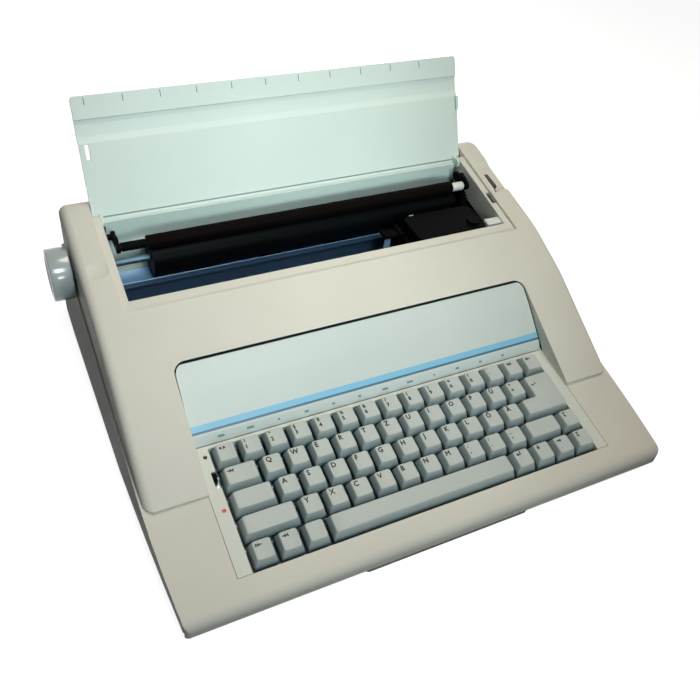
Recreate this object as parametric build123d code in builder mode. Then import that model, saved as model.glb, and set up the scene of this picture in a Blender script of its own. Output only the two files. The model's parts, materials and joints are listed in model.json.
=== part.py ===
from build123d import *
from math import acos, asin, atan2, cos, degrees, hypot, pi, radians, sin, sqrt, tan
import os

os.makedirs("parts", exist_ok=True)

# Frame: X to the right, Y to the back, Z up, in millimetres.
# The origin is on the table, on the mid-plane, halfway between the front and the back of the case.

# Case
half_width = 200.0          # case, half of the width over the ledge
half_depth = 172.5          # case, half of the depth
case_lift = 5.5             # underside of the case above the table
wall = 2.5                  # moulded wall
front_corner = 4.5          # plan radius of the front corners
back_corner = 14.0          # plan radius of the back corners
joint_gap = 0.4             # between mouldings that lie side by side
skirt = 2.0                 # rim of the deck below its plate
ledge_step = 1.5            # hood wall set in from the ledge at each side
back_step = 6.0             # hood wall set in from the ledge at the back
nose_narrowing = 5.0        # each side draws in by this much towards the front
nose_length = 102.5         # length over which it draws in
flare = 5.3                 # lower case wider than the ledge, at each side
flare_length = 272.5        # length over which this comes in again towards the front
flare_deg = 5.5             # lean of the lower case's side walls

# Keyboard slope: sloped measures are (y along the slope, z square to it) from the front edge of the
# front row's key tops.
slope_deg = 9.0
keys_y = -150.0
keys_z = 29.7
deck_level = -7.5           # top of the deck, square to the slope
nose_radius = 9.0

# Hood outline on the slope
hood_front = 56.0
hood_lip = 3.2              # step at the hood's front edge
hood_break = (147.5, 26.3)
hood_crest = (197.0, 36.3)
crest_slope = 1.7           # degrees over the keyboard slope
hood_side_round = 7.0
hood_back_round = 17.0
hood_corner = 10.0

# Lid and paper opening
lid_half_width = 174.6
lid_thickness = 2.4
lid_gap = 0.8
lid_reach = 98.2            # hinge axis to the free edge
lid_tail = 4.0              # plate past the hinge axis
lid_drop = 7.2              # hinge axis below the hood's surface
lid_open = 125.8            # degrees from closed to the rest position
lid_pin_radius = 2.5
opening_inset = 5.2         # side walls of the opening in from the lid's edges
opening_half_width = lid_half_width - opening_inset
opening_front = 206.9
opening_back = 309.6
recess_margin = 10.6        # width of the shallow ledge in front of the opening
skirt_low = 12.0            # lower edge of the opening's side walls, square to the slope
skirt_wall = 2.2

# Keyboard
pitch = 19.05
key_base = 18.2
key_side_inset = 3.0
key_front_inset = 3.4
key_back_inset = 1.8
cap_height = 10.3
cap_wall = 1.3
key_travel = 3.5
stem = 4.0
stem_gap = 0.3
plate_top = -14.2
plate_thickness = 1.5
plate_half_width = 154.0
stem_below = 0.9            # stem past the plate at rest
sheet_gap = 0.3             # stem above the switch sheet when pressed
sheet_thickness = 0.8
well_half_width = 143.9
well_front = -4.8
well_back = 92.0
frame_half_width = 154.3
frame_back = 99.0         # runs on under the panel's front edge
frame_thickness = 2.0

# Panel above the keys
panel_half_width = 153.0
panel_thickness = 2.2
panel_gap = 1.0
panel_corner = 8.0

# Chassis
plate_gap = 2.4             # side plates outside the opening's walls
plate_x = opening_half_width + skirt_wall + plate_gap
side_plate = 2.0
shaft_y = 55.5
shaft_z = 34.0
shaft_radius = 5.0

# Roller system
platen_y = 117.2
platen_z = 79.0
platen_radius = 16.5
gear_inset = 15.0           # gear's left face in from the side plate
gear_left = plate_x - gear_inset
platen_inset = 37.0         # platen's left end in from the side plate
platen_left = platen_inset - plate_x
gear_space = 8.0            # between the platen and the gear
platen_right = gear_left - gear_space
platen_shaft_radius = 3.0
running = 0.05              # radial clearance of running fits
knob_radius = 21.3
knob_length = 16.5
knob_gap = 2.1              # from the hood's wall, so that the knob clears the ledge
gear_module = 1.0
gear_teeth = 32
pinion_teeth = 12
gear_width = 6.0
pinion_angle = -35.0
feed_radius = 6.0
feed_shaft_radius = 2.0
feed_angle = -100.0
feed_gap = 0.35
pan_gap = 1.6
pan_thickness = 1.0
table_thickness = 1.8

# Paper bail
bail_y = 109.0
bail_z = 100.3
bail_roller_radius = 6.0
bail_rod_radius = 3.0
bail_overhang = 3.0         # roller past the platen's left end
bail_shortfall = 5.0        # roller short of the platen's right end
bail_left = platen_left - bail_overhang
bail_right = platen_right - bail_shortfall
bail_pivot_y = 124.5
bail_pivot_z = 100.5
bail_arm_inset = 6.4        # middle of each arm in from the opening's wall
bail_arm_x = opening_half_width - bail_arm_inset
bail_arm_thickness = 3.0

# Carriage
carriage_width = 78.0
carriage_end_gap = 16.0     # from the side plate, with the carriage at the right
carriage_right = plate_x - carriage_end_gap
carriage_left = carriage_right - carriage_width
carriage_front = 47.5
carriage_back = 88.0
carriage_low = 26.0
carriage_deck = 79.0
carriage_wall = 2.5
wheel_z = 48.0
wheel_radius = 31.0
wheel_y = 91.5
wheel_thickness = 1.2
hammer_z = 74.0
pulley_inset = 10.0
pulley_x = plate_x - pulley_inset
pulley_radius = 8.0
belt_y = 43.5
belt_width = 3.0
belt_thickness = 1.2
belt_z = 44.0

# Carrying handle
handle_half = 68.7
handle_arm = 12.0
handle_low = 3.0
handle_thick = 2.2
tongue_thick = 1.2
handle_slide = 30.0

slope = radians(slope_deg)
crest = radians(slope_deg + crest_slope)


def world(y, z):
    """Body-frame (Y, Z) of a sloped (y, z)."""
    return (keys_y + y * cos(slope) - z * sin(slope), keys_z + y * sin(slope) + z * cos(slope))


def on_level(level, y_body):
    """Body-frame Z of the sloped level at a body-frame Y."""
    return keys_z + (y_body - keys_y) * tan(slope) + level / cos(slope)


def crest_z(y):
    """Sloped height of the hood's surface behind the crest."""
    return hood_crest[1] + (y - hood_crest[0]) * tan(radians(crest_slope))


def slope_side(x=0.0):
    return Plane(origin=(x, keys_y, keys_z), x_dir=(0, cos(slope), sin(slope)), z_dir=(1, 0, 0))


def body_side(x=0.0):
    return Plane(origin=(x, 0, 0), x_dir=(0, 1, 0), z_dir=(1, 0, 0))


def key_level(z=0.0):
    y_body, z_body = world(0, z)
    return Plane(origin=(0, y_body, z_body), x_dir=(1, 0, 0), z_dir=(0, -sin(slope), cos(slope)))


def block(x0, x1, y0, y1, z0, z1, mode=Mode.ADD):
    """A box between two corners of the body frame."""
    with Locations(((x0 + x1) / 2, (y0 + y1) / 2, (z0 + z1) / 2)):
        Box(x1 - x0, y1 - y0, z1 - z0, mode=mode)


def sloped_block(x0, x1, y0, y1, z0, z1, mode=Mode.ADD):
    """A box between two corners of the sloped frame."""
    with BuildSketch(key_level(z0)) as outline:
        with Locations(((x0 + x1) / 2, (y0 + y1) / 2)):
            Rectangle(x1 - x0, y1 - y0)
    extrude(outline.sketch, amount=z1 - z0, mode=mode)


def rod(x0, x1, y, z, radius, mode=Mode.ADD):
    """A cylinder along X."""
    with Locations(Location(((x0 + x1) / 2, y, z), (0, 90, 0))):
        Cylinder(radius, x1 - x0, mode=mode)


def rod_y(x, y0, y1, z, radius, mode=Mode.ADD):
    """A cylinder along Y."""
    with Locations(Location((x, (y0 + y1) / 2, z), (90, 0, 0))):
        Cylinder(radius, y1 - y0, mode=mode)


def post(x, y, z0, z1, radius, mode=Mode.ADD):
    """A cylinder along Z."""
    with Locations((x, y, (z0 + z1) / 2)):
        Cylinder(radius, z1 - z0, mode=mode)


def side_prism(points, x0, x1, plane_at=body_side, radii=None, mode=Mode.ADD):
    """A side outline carried from x0 to x1."""
    with BuildSketch(plane_at(x0)) as outline:
        with BuildLine():
            if radii is None:
                Polyline(*points, close=True)
            else:
                FilletPolyline(*points, radius=radii, close=True)
        make_face()
    extrude(outline.sketch, amount=x1 - x0, mode=mode)


def draw_in(length, depth, run):
    """Inward step, after a run, of a side that draws in by depth over a length."""
    bow = (length**2 + depth**2) / (2 * depth)
    return bow - sqrt(bow**2 - run**2)


def plan_prism(
    inset,
    front,
    back,
    height=140.0,
    front_radius=front_corner,
    back_radius=back_corner,
    extra=0.0,
    length=nose_length,
):
    """The case's plan between two body Ys, with rounded corners, used to trim."""
    half = half_width + extra - inset
    start = length - half_depth
    step = draw_in(length, nose_narrowing + extra, start - front)
    with BuildSketch(Plane.XY) as plan:
        with BuildLine():
            Line((-half, back), (half, back))
            Line((half, back), (half, start))
            TangentArc((half, start), (half - step, front), tangent=(0, -1))
            Line((half - step, front), (step - half, front))
            TangentArc((-half, start), (step - half, front), tangent=(0, -1))
            Line((-half, start), (-half, back))
        make_face()
        fillet(plan.vertices().group_by(Axis.Y)[0], max(front_radius - inset, 1.0))
        fillet(plan.vertices().group_by(Axis.Y)[-1], max(back_radius - inset, 1.0))
    extrude(plan.sketch, amount=height, mode=Mode.INTERSECT)


def save(builder, label):
    builder.part.label = label
    export_step(builder.part, "parts/" + label + ".step")


# Case shells

floor_top = case_lift + wall
rim_level = deck_level - wall - skirt
case_front = -half_depth + wall + joint_gap
case_back = half_depth - 0.3
case_side = 0.3             # case wall in from the ledge


def tray(inset, extra):
    """The lower case as a solid, or its hollow when inset."""
    front = case_front + inset
    back = case_back - inset
    low = case_lift + inset
    with BuildPart() as body:
        side_prism(
            [
                (front, low),
                (back, low),
                (back, on_level(rim_level, back) + extra),
                (front, on_level(rim_level, front) + extra),
            ],
            -half_width - flare,
            half_width + flare,
        )
        plan_prism(case_side + inset, front, back, extra=flare, length=flare_length)
        # side walls that lean out below the ledge
        half = half_width - case_side - inset
        lean_depth = 100.0
        foot = half + lean_depth * tan(radians(flare_deg))
        low_z = rim_level - lean_depth
        across = Plane(
            origin=(0, *world(-60.0, 0)),
            x_dir=(1, 0, 0),
            z_dir=(0, -cos(slope), -sin(slope)),
        )
        with BuildSketch(across) as section:
            with BuildLine():
                Polyline(
                    (-foot, low_z),
                    (foot, low_z),
                    (half, rim_level),
                    (half, 120),
                    (-half, 120),
                    (-half, rim_level),
                    close=True,
                )
            make_face()
        extrude(section.sketch, amount=-460.0, mode=Mode.INTERSECT)
    return body.part


foot_x = half_width - 40.0
foot_front = -half_depth + 44.5
foot_back = half_depth - 27.5
foot_spots = [(-foot_x, foot_front), (foot_x, foot_front), (-foot_x, foot_back), (foot_x, foot_back), (0, 0)]
front_screw_x = half_width - 17.0
back_screw_x = half_width - 16.0
front_screw_y = -half_depth + 26.5
back_screw_y = half_depth - 13.5
screw_spots = [
    (-front_screw_x, front_screw_y),
    (front_screw_x, front_screw_y),
    (-back_screw_x, back_screw_y),
    (back_screw_x, back_screw_y),
]
front_post_top = 13.0
front_seat = case_lift + 1.6
back_seat = 40.0
screw_post = 4.5
screw_radius = 1.4
screw_head = 3.4
hood_post_low = 46.0
handle_rail_inner = handle_half + joint_gap
lug_inner = 79.0
lug_outer = 91.6
rail_front = -158.0
rail_back = -106.0
tongue_front = -124.0
tongue_back = -112.0
tongue_reach = 4.0
tongue_low = handle_low + 0.5
inlet_x = 120.0
inlet_z = 32.0
inlet_half_width = 13.5
inlet_half_height = 9.5
cradle_top = belt_z - 17.0
board_low = 12.0
transformer_front = 122.0
transformer_back = 150.0
motor_radius = 17.0
key_post_spots = [(-149.5, 4), (149.5, 4), (-149.5, 88), (149.5, 88)]
sheet_top = plate_top - plate_thickness - stem_below - key_travel - sheet_gap
sheet_low = sheet_top - sheet_thickness

with BuildPart() as bottom_case:
    add(tray(0, 0))
    add(tray(wall, 60), mode=Mode.SUBTRACT)
    # screw posts, with the screw seats sunk in from below
    for x, y in screw_spots:
        post(x, y, floor_top - 1, hood_post_low if y > 0 else front_post_top, screw_post + 1)
    for x, y in screw_spots:
        post(x, y, 0, 60, screw_radius + 0.3, mode=Mode.SUBTRACT)
        post(x, y, 0, back_seat if y > 0 else front_seat, screw_head + 0.4, mode=Mode.SUBTRACT)
    # recesses for the feet
    for x, y in foot_spots:
        post(x, y, 0, case_lift + 1.0, 8.3, mode=Mode.SUBTRACT)
    # ribs that carry the switch sheet, and posts that carry the key plate
    for rib_y in (36.0, 66.0, 90.0):
        rib_top_y, rib_top_z = world(rib_y, sheet_low)
        block(-140, 140, rib_top_y - 1, rib_top_y + 1, floor_top - 1, rib_top_z - tan(slope))
    for x, y in key_post_spots:
        post_y, post_z = world(y, plate_top - plate_thickness)
        post(x, post_y, floor_top - 1, post_z - 0.4, 2.6)
    # cradle of the carriage motor and feet of the circuit board
    block(pulley_x - 14, pulley_x + 14, 16, 40, floor_top - 1, cradle_top)
    for x in (-140, 80):
        for y in (124, 160):
            post(x, y, floor_top - 1, board_low, 3.0)
    # transformer seat
    block(92, 98, transformer_front, transformer_back, floor_top - 1, board_low)
    block(142, 148, transformer_front, transformer_back, floor_top - 1, board_low)
    # rails under the floor that guide the handle
    for side in (-1, 1):
        x0, x1 = sorted((side * handle_rail_inner, side * lug_outer))
        block(x0, x1, rail_front, rail_back, 0.9, case_lift + 0.5)
        x0, x1 = sorted((side * lug_inner, side * lug_outer))
        block(x0, x1, case_front + 0.6, rail_front + 1, 0.9, case_lift + 0.5)
        x0, x1 = sorted((side * (handle_rail_inner - 1), side * (handle_half + tongue_reach + 0.4)))
        block(
            x0,
            x1,
            tongue_front - handle_slide - 0.2,
            rail_back + 1,
            tongue_low - 0.3,
            tongue_low + tongue_thick + 0.3,
            mode=Mode.SUBTRACT,
        )
    # opening for the mains inlet
    block(
        inlet_x - inlet_half_width - 0.2,
        inlet_x + inlet_half_width + 0.2,
        case_back - wall - 1,
        case_back + 1,
        inlet_z - inlet_half_height - 0.2,
        inlet_z + inlet_half_height + 0.2,
        mode=Mode.SUBTRACT,
    )
save(bottom_case, "bottom_case")

mech_half_width = half_width - 6.0
mech_front = 62.0
deck_inner = deck_level - wall

with BuildPart() as front_deck:
    front = -half_depth
    back = half_depth
    side_prism(
        [
            (front, case_lift),
            (front, on_level(deck_level, front)),
            (back, on_level(deck_level, back)),
            (back, on_level(rim_level, back)),
            (front + wall, on_level(rim_level, front + wall)),
            (front + wall, case_lift),
        ],
        -half_width,
        half_width,
        radii=[1.0, nose_radius, 0, 0, 0, 0],
    )
    plan_prism(0, front, back)
    # hollow under the plate, inside the rim
    with BuildPart(mode=Mode.PRIVATE) as under:
        side_prism(
            [
                (front + wall, case_lift),
                (front + wall, on_level(deck_inner, front + wall)),
                (back - wall, on_level(deck_inner, back - wall)),
                (back - wall, case_lift),
            ],
            -half_width,
            half_width,
        )
        plan_prism(wall, front + wall, back - wall)
    add(under.part, mode=Mode.SUBTRACT)
    # keyboard bay and the large opening under the hood
    bay = frame_half_width + 0.3
    sloped_block(-bay, bay, well_front, mech_front + 5, -40, 10, mode=Mode.SUBTRACT)
    sloped_block(-mech_half_width, mech_half_width, mech_front, 310, -40, 10, mode=Mode.SUBTRACT)
    # bosses for the front screws
    for x, y in screw_spots:
        if y < 0:
            post(x, y, front_post_top, on_level(deck_inner, y) + 0.8, screw_post)
            post(x, y, 0, front_post_top + 5, screw_radius + 0.1, mode=Mode.SUBTRACT)
        else:
            post(x, y, 40, 100, screw_post + 0.5, mode=Mode.SUBTRACT)
save(front_deck, "front_deck")


def hood_solid(inset, low):
    """The hood's outer form, or its hollow when inset, down to a sloped level."""
    half = half_width - ledge_step - inset
    back = half_depth - back_step
    back_top = world(*hood_crest)[1] + (back - world(*hood_crest)[0]) * tan(crest)
    outline_points = [
        world(hood_front, low),
        world(hood_front, deck_level + hood_lip),
        world(*hood_break),
        world(*hood_crest),
        (back, back_top),
        (back, on_level(low, back)),
    ]
    with BuildPart() as body:
        with BuildSketch(body_side(-half)) as outline:
            with BuildLine():
                FilletPolyline(*outline_points, radius=[0, 0, 120, 160, hood_back_round, 0], close=True)
            make_face()
            if inset > 0:
                offset(amount=-inset, kind=Kind.INTERSECTION)
        extrude(outline.sketch, amount=2 * half)
        front_y = outline_points[0][0] + inset
        top_edges = [
            e
            for e in body.edges()
            if abs(abs(e.center().X) - half) < 0.05
            and e.center().Y > front_y + 4
            and e.center().Z > on_level(low + inset, e.center().Y) + 3
        ]
        fillet(top_edges, hood_side_round - inset)
        plan_prism(
            ledge_step + inset,
            front_y - 1,
            back - inset,
            front_radius=hood_corner + ledge_step,
            back_radius=back_corner,
        )
    return body.part


hood_half = half_width - ledge_step
hinge_y = hood_crest[0] - 0.7 + lid_gap + lid_reach * cos(radians(crest_slope)) + lid_drop * sin(radians(crest_slope))
hinge_z = crest_z(hinge_y) - lid_drop / cos(radians(crest_slope))
hinge_point = world(hinge_y, hinge_z)
recess_front = hood_crest[0] - 0.7
recess_half_width = lid_half_width + lid_gap
recess_depth = lid_thickness + 0.4
ledge_thick = 2.4
bay_half = panel_half_width + panel_gap
panel_top = 147.3
panel_seat = 21.5
lug_front = 49.5            # lug under the lid's right edge, from the hinge axis
lug_back = 62.0
bay_back = panel_top + 1.3
bail_pivot_bore = 2.5 + running
release_x = plate_x + 9.0
release_width = 3.6
release_y = 100.0
release_z = 80.0
release_pad_front = 92.0
release_pad_back = 111.0
notch_front = 248.0
notch_back = 293.0
notch_depth = 6.5
swing_drop = 4.0            # clearance below the hinge axis, behind it, for the lid's wide part
hinge_boss = 4.7

with BuildPart() as top_cover:
    add(hood_solid(0, deck_level))
    add(hood_solid(wall, deck_level - 30), mode=Mode.SUBTRACT)
    # walls beside and behind the keyboard panel
    with BuildPart(mode=Mode.PRIVATE) as liner:
        for side in (-1, 1):
            x0, x1 = sorted((side * (bay_half - 0.5), side * (bay_half + wall)))
            sloped_block(x0, x1, hood_front + 0.2, bay_back + wall, deck_level, 60)
        sloped_block(-bay_half - 1, bay_half + 1, bay_back, bay_back + wall, 17, 60)
        # floor of the recess around the paper opening
        side_prism(
            [
                (recess_front - 2.5, crest_z(recess_front - 2.5) - recess_depth - ledge_thick),
                (opening_back + 3, crest_z(opening_back + 3) - recess_depth - ledge_thick),
                (opening_back + 3, crest_z(opening_back + 3) + 5),
                (recess_front - 2.5, crest_z(recess_front - 2.5) + 5),
            ],
            -recess_half_width - 2.4,
            recess_half_width + 2.4,
            plane_at=slope_side,
        )
        # side walls of the opening, down into the machine
        for side in (-1, 1):
            x0, x1 = sorted((side * (opening_half_width - 0.5), side * (opening_half_width + skirt_wall)))
            sloped_block(x0, x1, opening_front, opening_back + 3, skirt_low, 60)
        # floor of the notch round the release lever
        sloped_block(178, hood_half, notch_front - 4, notch_back + 4, 24, 60)
        # posts for the case screws
        for x, y in screw_spots:
            if y > 0:
                post(x, y, hood_post_low, 130, screw_post)
        add(hood_solid(0.2, deck_level), mode=Mode.INTERSECT)
    add(liner.part)
    for x, y in screw_spots:
        if y > 0:
            post(x, y, hood_post_low, 90, screw_post)
    # bay of the keyboard and its panel
    with BuildSketch(key_level(deck_level - 30)) as bay_plan:
        with Locations((0, (bay_back - 30) / 2)):
            Rectangle(2 * bay_half, bay_back + 30)
        fillet(bay_plan.vertices().group_by(Axis.Y)[-1], panel_corner + 1.3)
    extrude(bay_plan.sketch, amount=120, mode=Mode.SUBTRACT)
    # shelf under the panel's back edge
    sloped_block(
        -bay_half - 0.5, bay_half + 0.5, bay_back - 4.4, bay_back + 0.5, panel_seat - 2, panel_seat
    )
    # recess for the lid, then the opening itself
    side_prism(
        [
            (recess_front, crest_z(recess_front) - recess_depth),
            (opening_back, crest_z(opening_back) - recess_depth),
            (opening_back, 70),
            (recess_front, 70),
        ],
        -recess_half_width,
        recess_half_width,
        plane_at=slope_side,
        mode=Mode.SUBTRACT,
    )
    sloped_block(
        -opening_half_width,
        opening_half_width,
        opening_front,
        opening_back,
        -20,
        70,
        mode=Mode.SUBTRACT,
    )
    # room behind each hinge pin for the lid's corner, round a boss that carries the pin
    for side in (-1, 1):
        x0, x1 = sorted((side * (opening_half_width - 0.5), side * recess_half_width))
        with BuildPart(mode=Mode.PRIVATE) as corner_room:
            sloped_block(x0, x1, hinge_y - 0.5, opening_back, hinge_z - swing_drop, 70)
            rod(x0, x1, *hinge_point, hinge_boss, mode=Mode.SUBTRACT)
        add(corner_room.part, mode=Mode.SUBTRACT)
    # pocket in the ledge for the lid's lug
    sloped_block(
        lid_half_width - 2.8,
        recess_half_width,
        hinge_y - lug_back - 0.6,
        hinge_y - lug_front + 0.6,
        20,
        50,
        mode=Mode.SUBTRACT,
    )
    # holes: lid pins, bail pivots, platen shaft
    pin_reach = opening_half_width + skirt_wall + 1.9
    rod(-pin_reach, pin_reach, *hinge_point, lid_pin_radius + running, mode=Mode.SUBTRACT)
    rod(-pin_reach, pin_reach, bail_pivot_y, bail_pivot_z, bail_pivot_bore, mode=Mode.SUBTRACT)
    rod(-half_width - 10, -half_width + 10, platen_y, platen_z, platen_shaft_radius + 2, mode=Mode.SUBTRACT)
    # finger scoops beside the opening
    for side in (-1, 1):
        scoop_y, scoop_z = world(239.0, crest_z(239.0) + 23.5)
        with Locations((side * 184.0, scoop_y, scoop_z)):
            Sphere(25.0, mode=Mode.SUBTRACT)
    # notch and slot for the paper release lever
    notch = [
        (notch_front - 6, crest_z(notch_front) + 1),
        (notch_front + 2, crest_z(notch_front) - notch_depth),
        (notch_back - 10, crest_z(notch_back) - notch_depth),
        (notch_back + 6, crest_z(notch_back) + 1),
    ]
    side_prism(notch, 181.0, 210.0, plane_at=slope_side, radii=[0, 4, 8, 0], mode=Mode.SUBTRACT)
    block(
        release_x - 0.8,
        release_x + release_width + 0.8,
        release_pad_front - 6,
        release_pad_back + 3.5,
        90,
        130,
        mode=Mode.SUBTRACT,
    )
    for x, y in screw_spots:
        if y > 0:
            post(x, y, 20, hood_post_low + 12, screw_radius + 0.1, mode=Mode.SUBTRACT)
save(top_cover, "top_cover")


# Keyboard

panel_face = [(94.6, -7.5), (100.0, -1.5), (128.0, 16.0), (panel_top, 25.6)]

with BuildPart() as keyboard_panel:
    side_prism(
        panel_face
        + [
            (panel_top, panel_seat),
            (panel_top - 2.0, panel_seat),
            (panel_top - 2.0, 22.1),
            (129.1, 14.1),
            (101.2, -3.4),
            (97.2, -7.5),
        ],
        -panel_half_width,
        panel_half_width,
        plane_at=slope_side,
        radii=[0, 6, 20, 1.0, 0, 0, 0, 18, 5, 0],
    )
    with BuildSketch(key_level(-20)) as panel_plan:
        with Locations((0, (panel_face[0][0] + panel_top) / 2)):
            Rectangle(2 * panel_half_width, panel_top - panel_face[0][0])
        fillet(panel_plan.vertices().group_by(Axis.Y)[-1], panel_corner)
    extrude(panel_plan.sketch, amount=80, mode=Mode.INTERSECT)
save(keyboard_panel, "keyboard_panel")

lamp_spots = [(-147.5, 86.1), (-147.8, 43.1)]
lamp_radius = 1.3
switch_left = -147.6
switch_low = 60.3
switch_high = 73.4

with BuildPart() as keyboard_frame:
    sloped_block(
        -frame_half_width,
        frame_half_width,
        well_front + 0.3,
        frame_back,
        deck_level - frame_thickness,
        deck_level,
    )
    # turned-down rim of the well
    sloped_block(
        -well_half_width - 1.5,
        well_half_width + 1.5,
        well_front + 0.3,
        well_back + 1.5,
        plate_top + 0.6,
        deck_level - 0.5,
    )
    sloped_block(-well_half_width, well_half_width, -8, well_back, -30, 10, mode=Mode.SUBTRACT)
    # feet on the key plate
    for side in (-1, 1):
        for y in (8, 53, 79):
            with BuildSketch(key_level(plate_top)) as foot:
                with Locations((side * 151.6, y)):
                    Circle(2.0)
            extrude(foot.sketch, amount=deck_level - frame_thickness - plate_top + 0.5)
    for x, y in lamp_spots:
        with BuildSketch(key_level(-30)) as lamp_hole:
            with Locations((x, y)):
                Circle(lamp_radius + 0.2)
        extrude(lamp_hole.sketch, amount=40, mode=Mode.SUBTRACT)
    sloped_block(switch_left, -well_half_width + 1, switch_low, switch_high, -30, 0, mode=Mode.SUBTRACT)
save(keyboard_frame, "keyboard_frame")

with BuildPart() as status_lamps:
    for x, y in lamp_spots:
        with BuildSketch(key_level(plate_top)) as lamp:
            with Locations((x, y)):
                Circle(lamp_radius)
        extrude(lamp.sketch, amount=deck_level - plate_top - 1.6)
        with Locations(key_level(deck_level - 1.6) * Pos(x, y, 0)):
            Sphere(lamp_radius)
save(status_lamps, "status_lamps")

slider_length = 6.6
switch_travel = 6.0

with BuildPart() as power_switch_slider:
    slider_top = switch_high - 0.3
    slider_low = slider_top - slider_length
    sloped_block(switch_left + 0.3, -well_half_width - 0.3, slider_low, slider_top, plate_top, -9.0)
    sloped_block(switch_left + 0.5, -well_half_width - 0.5, slider_low + 1.2, slider_top - 1.2, -10, -6.6)
save(power_switch_slider, "power_switch_slider")


def row_y(row):
    return row * pitch


def cell_x(unit):
    """Left edge of a key's cell, counted in key widths from the left."""
    return (unit - 7.5) * pitch


cap_gap = (pitch - key_base) / 2
base_front = -key_front_inset
base_back = key_base - key_front_inset
wide_stems = 48.0           # between the spacebar's middle and each of its stems
cap_roof = 1.5
dish_radius = 34.0
dish_depth = 0.7


def rounded(points, radius, plane):
    with BuildSketch(plane) as outline:
        with BuildLine():
            Polyline(*points, close=True)
        make_face()
        fillet(outline.vertices(), radius)
    return outline.sketch


stem_low = plate_top - plate_thickness - stem_below
key_middle = (base_front + base_back) / 2


def plain_cap(units, stems):
    left = cap_gap
    right = units * pitch - cap_gap
    inner = cap_wall

    def frame_points(x0, x1, y0, y1):
        return [(x0, y0), (x1, y0), (x1, y1), (x0, y1)]

    base_points = frame_points(left, right, base_front, base_back)
    top_points = frame_points(
        left + key_side_inset, right - key_side_inset, 0, base_back - key_back_inset
    )
    hollow_points = frame_points(
        left + inner, right - inner, base_front + inner, base_back - inner
    )
    hollow_top = frame_points(
        left + key_side_inset + inner - 0.3,
        right - key_side_inset - inner + 0.3,
        inner - 0.3,
        base_back - key_back_inset - inner + 0.3,
    )
    dish_x = units * pitch / 2 if units < 2.5 else None
    with BuildPart() as shape:
        loft(
            sections=[
                rounded(base_points, 1.2, Plane.XY.offset(-cap_height)),
                rounded(top_points, 1.8, Plane.XY),
            ]
        )
        if units < 1.2:
            with Locations(Location((dish_x, 7, dish_radius - dish_depth), (90, 0, 0))):
                Cylinder(dish_radius, 40, mode=Mode.SUBTRACT)
        loft(
            sections=[
                rounded(hollow_points, 0.8, Plane.XY.offset(-cap_height)),
                rounded(hollow_top, 1.0, Plane.XY.offset(-cap_roof - dish_depth)),
            ],
            mode=Mode.SUBTRACT,
        )
        for x in stems:
            with Locations((x, key_middle, (stem_low - cap_roof) / 2)):
                Box(stem, stem, -cap_roof - stem_low)
    return shape.part


key_rows = {
    "number_row_keys": [(unit, 1, 4) for unit in range(15)],
    "tab_key": [(0, 1.5, 3)],
    "top_letter_keys": [(1.5 + unit, 1, 3) for unit in range(12)],
    "caps_lock_key": [(0, 1.75, 2)],
    "home_letter_keys": [(1.75 + unit, 1, 2) for unit in range(11)],
    "left_shift_key": [(0, 2.25, 1)],
    "bottom_letter_keys": [(2.25 + unit, 1, 1) for unit in range(10)],
    "right_shift_key": [(12.25, 1.75, 1)],
    "margin_keys": [(unit, 1, 0) for unit in range(3)],
    "spacebar": [(3, 8, 0)],
    "function_keys": [(14, 1, 1), (11, 1, 0), (12, 1, 0), (13, 1, 0), (14, 1, 0)],
}


def stem_offsets(units):
    middle = units * pitch / 2
    if units > 4:
        return [middle - wide_stems, middle + wide_stems]
    return [middle]


cap_shapes = {}
stem_spots = []
for label, keys in key_rows.items():
    with BuildPart() as key_group:
        for unit, units, row in keys:
            if units not in cap_shapes:
                cap_shapes[units] = plain_cap(units, stem_offsets(units))
            add(cap_shapes[units].moved(key_level().location * Pos(cell_x(unit), row_y(row), 0)))
            for offset_x in stem_offsets(units):
                stem_spots.append((cell_x(unit) + offset_x, row_y(row) + key_middle))
    save(key_group, label)

# the return key spans two rows: narrower at the top, wider at the bottom
return_upper = cell_x(13.5) + cap_gap
return_lower = cell_x(12.75) + cap_gap
return_right = cell_x(15) - cap_gap


def return_points(side, front, back):
    """Outline of the return key, drawn in by side, front and back insets."""
    low = row_y(2) + base_front + front
    step = row_y(2) + base_back - back
    high = row_y(3) + base_back - back
    return [
        (return_lower + side, low),
        (return_right - side, low),
        (return_right - side, high),
        (return_upper + side, high),
        (return_upper + side, step),
        (return_lower + side, step),
    ]


with BuildPart() as return_key:
    loft(
        sections=[
            rounded(return_points(0, 0, 0), 1.2, key_level(-cap_height)),
            rounded(return_points(key_side_inset, key_front_inset, key_back_inset), 1.8, key_level()),
        ]
    )
    inner = cap_wall
    loft(
        sections=[
            rounded(return_points(inner, inner, inner), 0.8, key_level(-cap_height)),
            rounded(
                return_points(
                    key_side_inset + inner, key_front_inset + inner, key_back_inset + inner
                ),
                0.8,
                key_level(-cap_roof),
            ),
        ],
        mode=Mode.SUBTRACT,
    )
    return_stem = ((return_upper + return_right) / 2, row_y(2) + base_back)
    sloped_block(
        return_stem[0] - stem / 2,
        return_stem[0] + stem / 2,
        return_stem[1] - stem / 2,
        return_stem[1] + stem / 2,
        stem_low,
        -cap_roof + 0.2,
    )
    stem_spots.append(return_stem)
save(return_key, "return_key")

plate_front = -8.0
plate_back = 97.0

with BuildPart() as key_plate:
    with BuildSketch(key_level(plate_top - plate_thickness)) as plate_plan:
        with Locations((0, (plate_front + plate_back) / 2)):
            Rectangle(2 * plate_half_width, plate_back - plate_front)
        with Locations(*stem_spots):
            Rectangle(stem + 2 * stem_gap, stem + 2 * stem_gap, mode=Mode.SUBTRACT)
    extrude(plate_plan.sketch, amount=plate_thickness)
save(key_plate, "key_plate")

with BuildPart() as keyboard_membrane:
    sloped_block(-136.0, 136.0, -4.0, 94.0, sheet_low, sheet_top)
save(keyboard_membrane, "keyboard_membrane")


# Lid

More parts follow.
